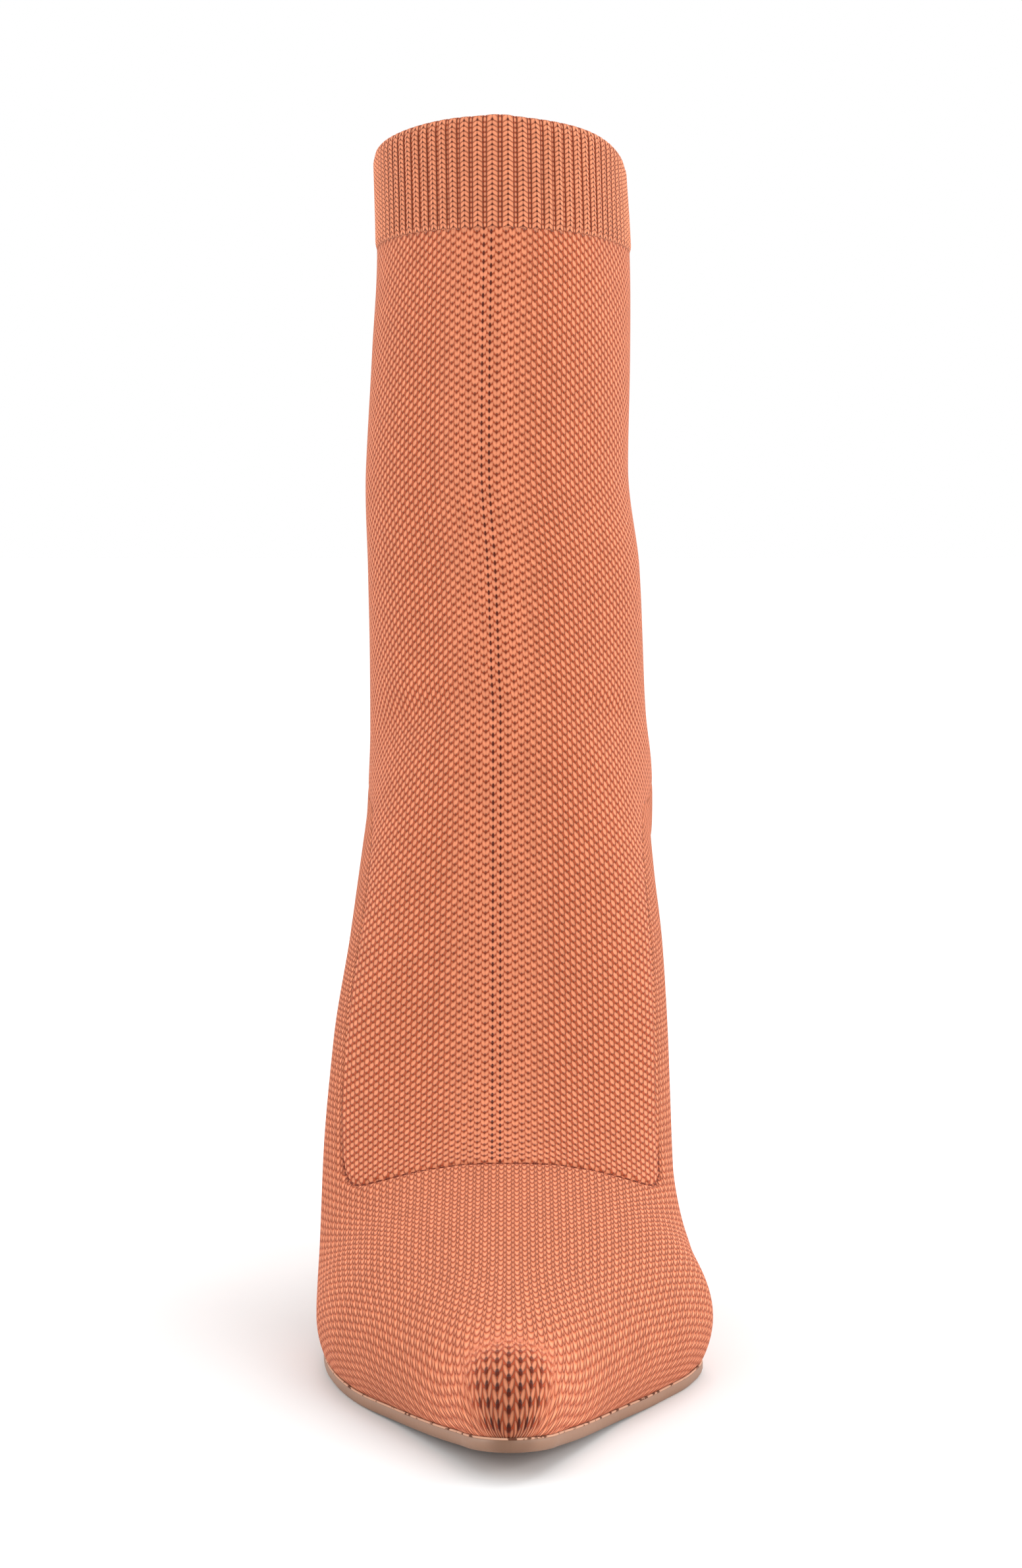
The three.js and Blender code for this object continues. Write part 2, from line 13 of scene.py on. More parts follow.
import bpy
import numpy as np
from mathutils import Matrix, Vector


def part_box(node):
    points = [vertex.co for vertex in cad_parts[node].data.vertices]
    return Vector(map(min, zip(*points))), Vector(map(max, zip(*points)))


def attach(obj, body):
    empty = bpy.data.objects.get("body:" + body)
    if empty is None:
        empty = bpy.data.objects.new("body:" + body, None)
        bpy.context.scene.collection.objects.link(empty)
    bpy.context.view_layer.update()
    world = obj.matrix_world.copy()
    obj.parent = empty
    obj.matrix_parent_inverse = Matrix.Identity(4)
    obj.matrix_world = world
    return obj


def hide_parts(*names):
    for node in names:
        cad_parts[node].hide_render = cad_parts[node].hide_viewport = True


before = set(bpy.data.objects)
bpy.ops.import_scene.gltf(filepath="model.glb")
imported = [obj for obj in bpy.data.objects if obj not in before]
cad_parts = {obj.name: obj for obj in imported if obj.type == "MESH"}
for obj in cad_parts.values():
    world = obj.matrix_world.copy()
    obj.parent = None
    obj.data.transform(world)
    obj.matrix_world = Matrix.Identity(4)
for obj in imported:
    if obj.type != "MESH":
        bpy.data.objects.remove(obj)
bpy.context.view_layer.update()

BODY = "root"
MILLIMETRE = 0.001
HALF = 0.5  # of a wale or a course
GLOSS = "Specular IOR Level"  # the shader's socket for the strength of reflections
UP = np.array([0.0, 0.0, 1.0])
LOG = logging.getLogger("ankle_boot")

Curve = Callable[[np.ndarray], np.ndarray]
Triple = tuple[float, float, float]
Colour = Triple


class Span(NamedTuple):
    """Two values between which something eases in or out, or goes from one to the other."""

    start: float
    end: float


class FootSection(NamedTuple):
    """A section of the foot: shares of the foot's length, the vamp's depth and the upper's width."""

    top: float
    sole: float
    rise: float
    medial: float
    lateral: float
    widest: float
    power: float


class LegSection(NamedTuple):
    """A section of the heel cup or leg: shares of the shaft's height, the foot's length and the collar."""

    front: float
    back: float
    centre: float
    depth: float
    medial: float
    lateral: float
    shift: float


class OutlinePoint(NamedTuple):
    """Half-widths of the feather line, as shares of the sole's width."""

    along: float
    medial: float
    lateral: float


class RisePoint(NamedTuple):
    """Rise of the sole's line as a share of the seat's lift."""

    along: float
    lift: float


class SeamPoint(NamedTuple):
    """A point of the seam between upper and shaft: section number and angle."""

    section: float
    angle: float


SOLE_OUTLINE = (
    OutlinePoint(0.0, 0.08, 0.075),
    OutlinePoint(0.05, 0.122, 0.114),
    OutlinePoint(0.1, 0.182, 0.178),
    OutlinePoint(0.18, 0.278, 0.286),
    OutlinePoint(0.26, 0.398, 0.404),
    OutlinePoint(0.32, 0.482, 0.462),
    OutlinePoint(0.37, 0.516, 0.49),
    OutlinePoint(0.42, 0.5, 0.5),
    OutlinePoint(0.48, 0.435, 0.482),
    OutlinePoint(0.56, 0.35, 0.42),
    OutlinePoint(0.65, 0.3, 0.35),
    OutlinePoint(0.742, 0.3, 0.335),
    OutlinePoint(0.826, 0.336, 0.352),
    OutlinePoint(1.0, 0.362, 0.37),
)

SOLE_RISE = (
    RisePoint(0.0, 0.0),
    RisePoint(0.41, 0.0),
    RisePoint(0.475, 0.04),
    RisePoint(0.55, 0.19),
    RisePoint(0.635, 0.415),
    RisePoint(0.72, 0.64),
    RisePoint(0.8, 0.812),
    RisePoint(0.9, 0.928),
    RisePoint(1.0, 1.0),
)

FOOT_SECTIONS = (
    FootSection(0.0, 0.0, 0.35, 0.082, 0.076, 0.66, 2.0),
    FootSection(0.089, 0.089, 0.49, 0.17, 0.165, 0.7, 2.0),
    FootSection(0.153, 0.153, 0.62, 0.247, 0.252, 0.72, 2.0),
    FootSection(0.235, 0.235, 0.77, 0.366, 0.368, 0.74, 2.0),
    FootSection(0.305, 0.305, 0.885, 0.46, 0.446, 0.75, 2.0),
    FootSection(0.373, 0.373, 0.975, 0.51, 0.482, 0.74, 2.0),
    FootSection(0.435, 0.45, 1.04, 0.476, 0.488, 0.69, 2.15),
    FootSection(0.512, 0.567, 0.94, 0.43, 0.489, 0.62, 2.35),
    FootSection(0.576, 0.686, 0.806, 0.427, 0.472, 0.58, 2.4),
    FootSection(0.621, 0.797, 0.76, 0.419, 0.438, 0.55, 2.35),
    FootSection(0.646, 0.898, 0.906, 0.405, 0.42, 0.53, 2.3),
    FootSection(0.661, 0.97, 1.107, 0.397, 0.408, 0.52, 2.25),
    FootSection(0.667, 1.0, 1.257, 0.392, 0.4, 0.51, 2.2),
)

LEG_SECTIONS = (
    LegSection(0.292, 0.113, 0.848, 1.041, 0.546, 0.55, 0.0),
    LegSection(0.328, 0.205, 0.848, 1.015, 0.541, 0.545, -0.005),
    LegSection(0.379, 0.328, 0.835, 0.917, 0.537, 0.541, -0.01),
    LegSection(0.462, 0.446, 0.829, 0.864, 0.532, 0.536, -0.02),
    LegSection(0.585, 0.574, 0.835, 0.879, 0.51, 0.52, -0.043),
    LegSection(0.728, 0.708, 0.846, 0.924, 0.515, 0.5, -0.04),
    LegSection(0.862, 0.826, 0.857, 0.964, 0.508, 0.486, -0.034),
    LegSection(1.0, 0.928, 0.866, 1.0, 0.488, 0.495, -0.034),
)

SEAM = (
    SeamPoint(5.9, 0),
    SeamPoint(5.96, 20),
    SeamPoint(6.12, 41),
    SeamPoint(6.33, 54),
    SeamPoint(6.75, 61),
    SeamPoint(8.0, 62),
    SeamPoint(9.5, 62),
    SeamPoint(10.5, 64),
    SeamPoint(11.5, 69),
    SeamPoint(12.35, 80),
    SeamPoint(12.9, 97),
    SeamPoint(13.4, 119),
    SeamPoint(13.8, 146),
    SeamPoint(14.05, 180),
)

SEAT = len(FOOT_SECTIONS) - 1  # the section that closes at the back of the heel seat
SEAT_START = SEAT - 4
COLLAR = len(FOOT_SECTIONS) + len(LEG_SECTIONS) - 1
THROAT = SEAM[0].section
SEAM_TOP = SEAM[-1].section
LEG_WIDEST = 0.5
LEG_POWER = 2.1


def through(xs: Sequence[float], ys: Sequence[float]) -> Curve:
    """Make a smooth curve through a table's values that never overshoots them.

    Args:
        xs: Places of the values, rising.
        ys: The values.

    Returns:
        A function that gives the curve's value at any places.
    """
    xs, ys = np.asarray(xs, float), np.asarray(ys, float)
    slopes = np.diff(ys) / np.diff(xs)
    before, after = slopes[:-1], slopes[1:]
    same = before * after > 0
    inner = np.where(same, 2 * before * after / np.where(same, before + after, 1), 0)
    tangents = np.concatenate([slopes[:1], inner, slopes[-1:]])

    def at(place: np.ndarray) -> np.ndarray:
        """Give the curve's value at a place or an array of places."""
        place = np.asarray(place, float)
        i = np.clip(np.searchsorted(xs, place, side="right") - 1, 0, len(xs) - 2)
        width = xs[i + 1] - xs[i]
        t = (place - xs[i]) / width
        t2, t3 = t * t, t * t * t
        low = (2 * t3 - 3 * t2 + 1) * ys[i] + (t3 - 2 * t2 + t) * width * tangents[i]
        return low + (3 * t2 - 2 * t3) * ys[i + 1] + (t3 - t2) * width * tangents[i + 1]

    return at


def column(rows: Sequence[NamedTuple], name: str, size: float = 1.0) -> np.ndarray:
    """Give one named column of a table, times the size that its shares are shares of."""
    return np.array([getattr(row, name) for row in rows]) * size


def round_end(distance: np.ndarray, length: float) -> np.ndarray:
    """Rise from 0 at an end to 1 at a distance of the rounded length, as a quarter circle."""
    left = 1 - np.clip(np.asarray(distance, float) / length, 0, 1)
    return np.sqrt(1 - left * left)


def smooth_step(value: np.ndarray, span: Span) -> np.ndarray:
    """Ease from 0 at a span's start to 1 at its end."""
    t = np.clip((np.asarray(value, float) - span.start) / (span.end - span.start), 0, 1)
    return t * t * (3 - 2 * t)


def bell(distance: np.ndarray, spread: float) -> np.ndarray:
    """Give 1 at 0, falling as a bell on both sides over a spread."""
    return np.exp(-((distance / spread) ** 2))


def mix(first: Any, second: Any, share: Any) -> Any:
    """Go from a first value to a second by a share."""
    return first + (second - first) * share


def travelled(points: np.ndarray) -> np.ndarray:
    """Give the distance covered from the first point, along the first axis of an array of points."""
    steps = np.linalg.norm(np.diff(points, axis=0), axis=-1)
    return np.concatenate([np.zeros_like(steps[:1]), np.cumsum(steps, axis=0)])


def evenly(fine: np.ndarray, points: np.ndarray, spacing: float) -> np.ndarray:
    """Pick values of a parameter so that the points they give lie evenly apart.

    Args:
        fine: Closely spaced values of the parameter.
        points: The point that each of them gives.
        spacing: Wanted distance between neighbours.

    Returns:
        The parameter's values at even distances, with both ends.
    """
    length = travelled(points)
    count = max(2, round(length[-1] / spacing) + 1)
    return np.interp(np.linspace(0, length[-1], count), length, fine)


def unit(vectors: np.ndarray) -> np.ndarray:
    """Scale vectors to length 1."""
    length = np.linalg.norm(vectors, axis=-1, keepdims=True)
    return vectors / np.where(length > 0, length, 1)


@dataclass
class Last:
    """The boot's form: every surface of the foot, leg and sole comes from here."""

    foot_length: float = 236.0
    sole_width: float = 80.0
    upper_width: float = 86.0
    vamp_depth: float = 38.2
    toe_spring: float = 6.0
    seat_lift: float = 80.4
    shaft_height: float = 190.5
    collar_width: float = 61.0
    collar_depth: float = 78.5
    collar_cant: float = 0.06
    cant_sections: float = 3.0
    outsole_thickness: float = 2.6
    toe_round: float = 10.0
    nose_round: float = 13.0
    heel_round: float = 30.0
    spring_end: float = 0.28
    end_zone: float = 0.25
    clearance: float = 0.02
    top_piece_back: float = 7.2  # back of the top piece in front of the back of the seat
    cuff_height: float = 25.0
    knit_wall: float = 2.2
    side_step: float = 0.02  # sections, for the side lines' direction
    girth_steps: int = 121
    seam_steps: int = 2000
    row_steps: int = 3000
    leg_steps: int = 4000
    parts: int = 60  # in which distances from the seam are worked out, to save memory
    curves: dict[str, Curve] = field(init=False, default_factory=dict)

    def __post_init__(self) -> None:
        """Draw the curves through the tables."""
        outline_along = column(SOLE_OUTLINE, "along", self.foot_length)
        self.medial_outline = through(outline_along, column(SOLE_OUTLINE, "medial", self.sole_width))
        self.lateral_outline = through(outline_along, column(SOLE_OUTLINE, "lateral", self.sole_width))
        self.rise = through(
            column(SOLE_RISE, "along", self.foot_length), column(SOLE_RISE, "lift", self.seat_lift)
        )
        foot, leg = FOOT_SECTIONS, LEG_SECTIONS
        sole = column(foot, "sole", self.foot_length)
        seat = self.sole_top(self.foot_length)
        centre = column(leg, "centre", self.foot_length)
        half_depth = column(leg, "depth", self.collar_depth / 2)
        values = {
            "top_along": (column(foot, "top", self.foot_length), centre - half_depth),
            "top_height": (
                self.sole_top(sole) + column(foot, "rise", self.vamp_depth),
                seat + column(leg, "front", self.shaft_height),
            ),
            "low_along": (sole, centre + half_depth),
            "low_height": (self.sole_top(sole), seat + column(leg, "back", self.shaft_height)),
            **{
                side: (column(foot, side, self.upper_width), column(leg, side, self.collar_width))
                for side in ("medial", "lateral")
            },
            "widest": (column(foot, "widest"), np.full(len(leg), LEG_WIDEST)),
            "power": (column(foot, "power"), np.full(len(leg), LEG_POWER)),
            "shift": (np.zeros(len(foot)), column(leg, "shift", self.collar_width)),
        }
        numbers = np.arange(COLLAR + 1)
        self.curves = {name: through(numbers, np.concatenate(both)) for name, both in values.items()}
        steps = np.arange(len(SEAM))
        self.seam_section = through(steps, column(SEAM, "section"))
        self.seam_angle = through(steps, column(SEAM, "angle"))

    def origin(self) -> np.ndarray:
        """Find the last's origin in the row's frame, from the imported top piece."""
        low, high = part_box("top_piece")
        back = (self.foot_length - self.top_piece_back) * MILLIMETRE
        return np.array([(low[0] + high[0]) / 2, high[1] - back, 0.0])

    def outline(self, along: np.ndarray, inset: float = 0.0) -> tuple[np.ndarray, np.ndarray]:
        """Give the feather line's half-widths.

        Args:
            along: Places from the toe tip.
            inset: How far the line is drawn in all round.

        Returns:
            The half-widths on the big-toe side and on the little-toe side.
        """
        ends = round_end(along - inset, self.toe_round)
        ends = ends * round_end(self.foot_length - inset - along, self.heel_round)
        return (self.medial_outline(along) - inset) * ends, (self.lateral_outline(along) - inset) * ends

    def sole_top(self, along: np.ndarray) -> np.ndarray:
        """Give the height of the outsole's top face at places from the toe tip."""
        spring = np.maximum(0, 1 - along / (self.spring_end * self.foot_length))
        return self.outsole_thickness + self.toe_spring * spring**2 + np.maximum(0, self.rise(along))

    def ridge(self, number: np.ndarray) -> np.ndarray:
        """Give the front ridge in side view as places and heights."""
        place = self.curves["top_along"](number)
        low = self.heel_line(number)[1]
        height = self.curves["top_height"](number)
        return np.stack([place, low + (height - low) * round_end(place, self.nose_round)])

    def heel_line(self, number: np.ndarray) -> np.ndarray:
        """Give the lower or back line of the sections in side view as places and heights."""
        place = self.curves["low_along"](number)
        height = np.where(number < SEAT, self.sole_top(place), self.curves["low_height"](number))
        return np.stack([place, height])

    def drawn_in(self, line: Curve, number: np.ndarray, inset: float, turn: int) -> np.ndarray:
        """Move a side-view line inwards, square to itself.

        Args:
            line: The ridge or the heel line.
            number: Section numbers.
            inset: How far it moves.
            turn: 1 for the ridge and -1 for the heel line.

        Returns:
            Its places and heights.
        """
        after = line(np.minimum(COLLAR, number + self.side_step))
        ahead, up = after - line(np.maximum(0, number - self.side_step))
        length = np.hypot(ahead, up)
        place, height = line(number)
        return np.stack([place + turn * inset * up / length, height - turn * inset * ahead / length])

    def between(self, place: np.ndarray, start: float, end: float) -> np.ndarray:
        """Fit places along the whole sole into a piece that runs from start to end."""
        near_toe = np.maximum(0, 1 - place / (self.end_zone * self.foot_length))
        near_heel = np.maximum(0, 1 - (self.foot_length - place) / (self.end_zone * self.foot_length))
        return place + start * near_toe + (end - self.foot_length) * near_heel

    def surface(self, number: np.ndarray, angle: np.ndarray, inset: float = 0.0) -> np.ndarray:
        """Give points of the boot's form.

        Args:
            number: Section numbers.
            angle: Angles round the sections in degrees, positive on the little-toe side.
            inset: How far the surface lies inside the outer one.

        Returns:
            The points, in the last's frame.
        """
        number, angle = np.broadcast_arrays(np.asarray(number, float), np.asarray(angle, float))
        row = {name: curve(number) for name, curve in self.curves.items()}
        low_along = self.between(row["low_along"], inset, self.foot_length - inset)
        top_place, top_height = self.drawn_in(self.ridge, number, inset, 1)
        back_place, back_height = self.drawn_in(self.heel_line, number, inset, -1)
        share = np.clip(number - SEAT, 0, 1)
        corner = self.foot_length - inset
        line_place, line_height = self.heel_line(number)
        back_place = corner + (back_place - corner) * share + (line_place - self.foot_length) * (1 - share)
        back_height = back_height * share + (line_height + self.clearance) * (1 - share)
        on_sole = number <= SEAT
        low_place = np.where(on_sole, low_along, back_place)
        low_height = np.where(on_sole, self.sole_top(low_along) + self.clearance, back_height)
        top_height = np.maximum(top_height, low_height)
        sides = self.outline(low_along, inset)
        on_medial = angle < 0
        edge = np.where(number < SEAT, np.where(on_medial, *sides), 0)
        toe = np.where(number < SEAT_START, round_end(low_along - inset, self.toe_round), 1)
        full = np.maximum((np.where(on_medial, row["medial"], row["lateral"]) - inset) * toe, edge)
        turn = np.radians(np.abs(angle))
        sin, cos = np.maximum(np.sin(turn), 0), np.cos(turn)
        power = 2 / row["power"]
        widest = row["widest"]
        roundness = 1 + np.clip((number - SEAT_START) / (SEAT - SEAT_START), 0, 1)
        low_width = np.maximum(edge, 0) ** roundness
        low_width = mix(low_width, np.maximum(full, 0) ** roundness, sin**2) ** (1 / roundness)
        upper_half = np.abs(angle) <= 90
        width = np.where(upper_half, full * sin**power, low_width)
        high = widest * (1 - np.maximum(cos, 0) ** power)
        down = np.where(upper_half, high, widest - (1 - widest) * cos)
        x = row["shift"] + np.where(on_medial, width, -width)
        cant = self.collar_cant * np.maximum(0, 1 - (COLLAR - number) / self.cant_sections) ** 2
        y = mix(top_place, low_place, down)
        z = mix(top_height, low_height, down) - cant * np.maximum(x, 0)
        return np.stack([x, y, z], axis=-1)

    def outwards(self, number: np.ndarray, angle: np.ndarray) -> np.ndarray:
        """Give the direction out of the wall at places of the form."""
        return unit(self.surface(number, angle) - self.surface(number, angle, self.knit_wall))

    def girth(self, number: np.ndarray, angle: np.ndarray) -> np.ndarray:
        """Give the distance round a section from the ridge.

        Args:
            number: Section numbers, one for each row.
            angle: Angles, a row of them for each number.

        Returns:
            Distances, positive towards the big-toe side.
        """
        fine = np.linspace(0, 180, self.girth_steps)
        result = np.zeros_like(angle, dtype=float)
        for side in (-1, 1):
            lengths = travelled(np.swapaxes(self.surface(number[:, None], side * fine[None]), 0, 1)).T
            here = np.sign(angle) == side
            found = np.array([np.interp(np.abs(a), fine, row) for a, row in zip(angle, lengths)])
            result = np.where(here, -side * found, result)
        return result

    def seam(self, spacing: float) -> tuple[np.ndarray, np.ndarray]:
        """Follow the seam on one side, from the throat to the back.

        Args:
            spacing: Distance between neighbours.

        Returns:
            Section numbers and angles at even distances.
        """
        fine = np.linspace(0, len(SEAM) - 1, self.seam_steps)
        points = self.surface(self.seam_section(fine), self.seam_angle(fine))
        steps = evenly(fine, points, spacing)
        return self.seam_section(steps), self.seam_angle(steps)

    def numbers(self, start: float, end: float, spacing: float) -> np.ndarray:
        """Give section numbers from a start to an end that lie evenly apart along the ridge."""
        fine = mix(start, end, np.linspace(0, 1, self.row_steps) ** 2)
        return evenly(fine, self.surface(fine, 0.0), spacing)

    def cuff_start(self) -> float:
        """Find the section number at which the cuff starts in front."""
        fine = np.linspace(SEAT, COLLAR, self.leg_steps)
        heights = self.curves["top_height"](fine)
        return float(np.interp(heights[-1] - self.cuff_height, heights, fine))

    def from_seam(self, points: np.ndarray) -> np.ndarray:
        """Give each point's distance from the seam between upper and shaft."""
        numbers, angles = self.seam(1.0)
        line = np.concatenate([self.surface(numbers, angles), self.surface(numbers, -angles)])
        parts = np.array_split(points.reshape(-1, 3), self.parts)
        nearest = [np.sqrt(((part[:, None] - line) ** 2).sum(-1).min(1)) for part in parts]
        return np.concatenate(nearest).reshape(points.shape[:-1])


def placed(name: str, data: bpy.types.ID) -> bpy.types.Object:
    """Put an object with its data into the scene."""
    made = bpy.data.objects.new(name, data)
    bpy.context.scene.collection.objects.link(made)
    return made


class Cell(NamedTuple):
    """A rectangle of the texture sheet."""

    left: float
    bottom: float
    right: float
    top: float


class Skin:
    """Gathers grids of points into one mesh with a knit map and a bake map."""

    strips_from = 0.94  # where narrow strips start on the texture sheet, up to its top
    strip_pitch = 0.0075
    strip_height = 0.006

    def __init__(self) -> None:
        """Start with nothing."""
        self.points: list[np.ndarray] = []
        self.count = 0
        self.corners: list[np.ndarray] = []
        self.knit: list[np.ndarray] = []
        self.bake: list[np.ndarray] = []

    def add(self, points: np.ndarray) -> np.ndarray:
        """Add a grid of points.

        Args:
            points: The points, in the last's frame.

        Returns:
            Their vertex numbers, in the same grid.
        """
        shape = points.shape[:-1]
        numbers = self.count + np.arange(int(np.prod(shape))).reshape(shape)
        self.points.append(points.reshape(-1, 3))
        self.count += numbers.size
        return numbers

    def patch(self, grid: np.ndarray, knit: np.ndarray, cell: Cell) -> None:
        """Add the faces of a grid of vertices.

        Args:
            grid: Vertex numbers, a row at a time.
            knit: Wale and course at each of them.
            cell: Where the patch lies on the texture sheet.
        """
        rows, columns = grid.shape
        across = np.linspace(cell.left, cell.right, columns)
        sheet = np.stack(np.meshgrid(across, np.linspace(cell.bottom, cell.top, rows)), axis=-1)
        for values, store in ((grid, self.corners), (knit, self.knit), (sheet, self.bake)):
            quads = [values[:-1, :-1], values[:-1, 1:], values[1:, 1:], values[1:, :-1]]
            quads = np.stack(quads, axis=2)
            store.append(quads.reshape((-1,) + quads.shape[2:]))

    def close(self, strips: Iterable[tuple[np.ndarray, np.ndarray, np.ndarray]]) -> None:
        """Close edges by single rows of faces, stacked at the top of the texture sheet.

        Args:
            strips: For each, its two lines of vertices, and wale and course along them.
        """
        for place, (first, second, knit) in enumerate(strips):
            bottom = self.strips_from + self.strip_pitch * place
            cell = Cell(0.0, bottom, 1.0, bottom + self.strip_height)
            self.patch(np.stack([first, second]), np.stack([knit, knit]), cell)

    def make(self, name: str, last: Last) -> bpy.types.Object:
        """Make the object.

        Args:
            name: The object's name.
            last: The form, which knows where its frame lies.

        Returns:
            A smooth mesh object, in metres in the row's frame.
        """
        points = np.concatenate(self.points) * MILLIMETRE + last.origin()
        corners = np.concatenate(self.corners)
        mesh = bpy.data.meshes.new(name)
        mesh.vertices.add(len(points))
        mesh.vertices.foreach_set("co", points.ravel())
        mesh.loops.add(corners.size)
        mesh.loops.foreach_set("vertex_index", corners.ravel().astype(np.int32))
        mesh.polygons.add(len(corners))
        mesh.polygons.foreach_set("loop_start", np.arange(0, corners.size, 4, dtype=np.int32))
        mesh.polygons.foreach_set("use_smooth", np.ones(len(corners), dtype=bool))
        for layer, values in (("knit", self.knit), ("OFBake", self.bake)):
            made = mesh.uv_layers.new(name=layer)
            made.data.foreach_set("uv", np.concatenate(values).astype(np.float32).ravel())
        mesh.update(calc_edges=True)
        mesh.validate()
        return placed(name, mesh)


class Value:
    """A number that varies over a surface; arithmetic on it adds Math nodes."""

    def __init__(self, shader: "Shader", socket: bpy.types.NodeSocket) -> None:
        """Wrap a node's output socket."""
        self.shader = shader
        self.socket = socket

    def math(self, operation: str, *others: Any, first: bool = True) -> "Value":
        """Add a Math node, whose first or else second input is this value."""
        inputs = (self, *others) if first else (*others, self)
        return self.shader.node("ShaderNodeMath", {"operation": operation}, dict(enumerate(inputs)))

    def __add__(self, other: Any) -> "Value":
        """Add."""
        return self.math("ADD", other)

    __radd__ = __add__

    def __sub__(self, other: Any) -> "Value":
        """Take away."""
        return self.math("SUBTRACT", other)

    def __rsub__(self, other: Any) -> "Value":
        """Take away from a number."""
        return self.math("SUBTRACT", other, first=False)

    def __mul__(self, other: Any) -> "Value":
        """Multiply."""
        return self.math("MULTIPLY", other)

    __rmul__ = __mul__

    def __truediv__(self, other: Any) -> "Value":
        """Divide."""
        return self.math("DIVIDE", other)

    def __pow__(self, other: Any) -> "Value":
        """Raise to a power."""
        return self.math("POWER", other)

    def __abs__(self) -> "Value":
        """Drop the sign."""
        return self.math("ABSOLUTE")

    def nearest(self) -> "Value":
        """Round to the nearest whole number."""
        return self.math("ROUND")

    def off_whole(self) -> "Value":
        """Give the distance past the nearest whole number."""
        return self - self.nearest()

    def sign(self) -> "Value":
        """Give -1, 0 or 1."""
        return self.math("SIGN")

    def least(self, other: Any) -> "Value":
        """Give the smaller of two."""
        return self.math("MINIMUM", other)

    def most(self, other: Any) -> "Value":
        """Give the larger of two."""
        return self.math("MAXIMUM", other)

    def wave(self) -> "Value":
        """Give the sine of the value in turns, moved to 0 to 1."""
        return (self * (2 * math.pi)).math("SINE") * 0.5 + 0.5

    def dome(self, reach: float) -> "Value":
        """Give 1 at 0, falling as a parabola to 0 at a reach on either side."""
        return (1 - (self / reach) ** 2).most(0)

    def rounded(self, reach: float) -> "Value":
        """Give 1 at 0, falling as a round section to 0 at a reach on either side."""
        return self.dome(reach) ** 0.5

    def ease(self, span: Span) -> "Value":
        """Ease from 0 at a span's start to 1 at its end."""
        settings = {"interpolation_type": "SMOOTHSTEP"}
        return self.shader.node("ShaderNodeMapRange", settings, {0: self, 1: span.start, 2: span.end})

    def fade(self, span: Span) -> "Value":
        """Ease from 1 at a span's start to 0 at its end."""
        return 1 - self.ease(span)

    def towards(self, other: Any, share: "Value") -> "Value":
        """Mix with another value by a share."""
        return self + share * (other - self)


class Grain(NamedTuple):
    """The size of smooth noise: cycles per unit of what it lies on, and its number of finer layers."""

    scale: float
    detail: float


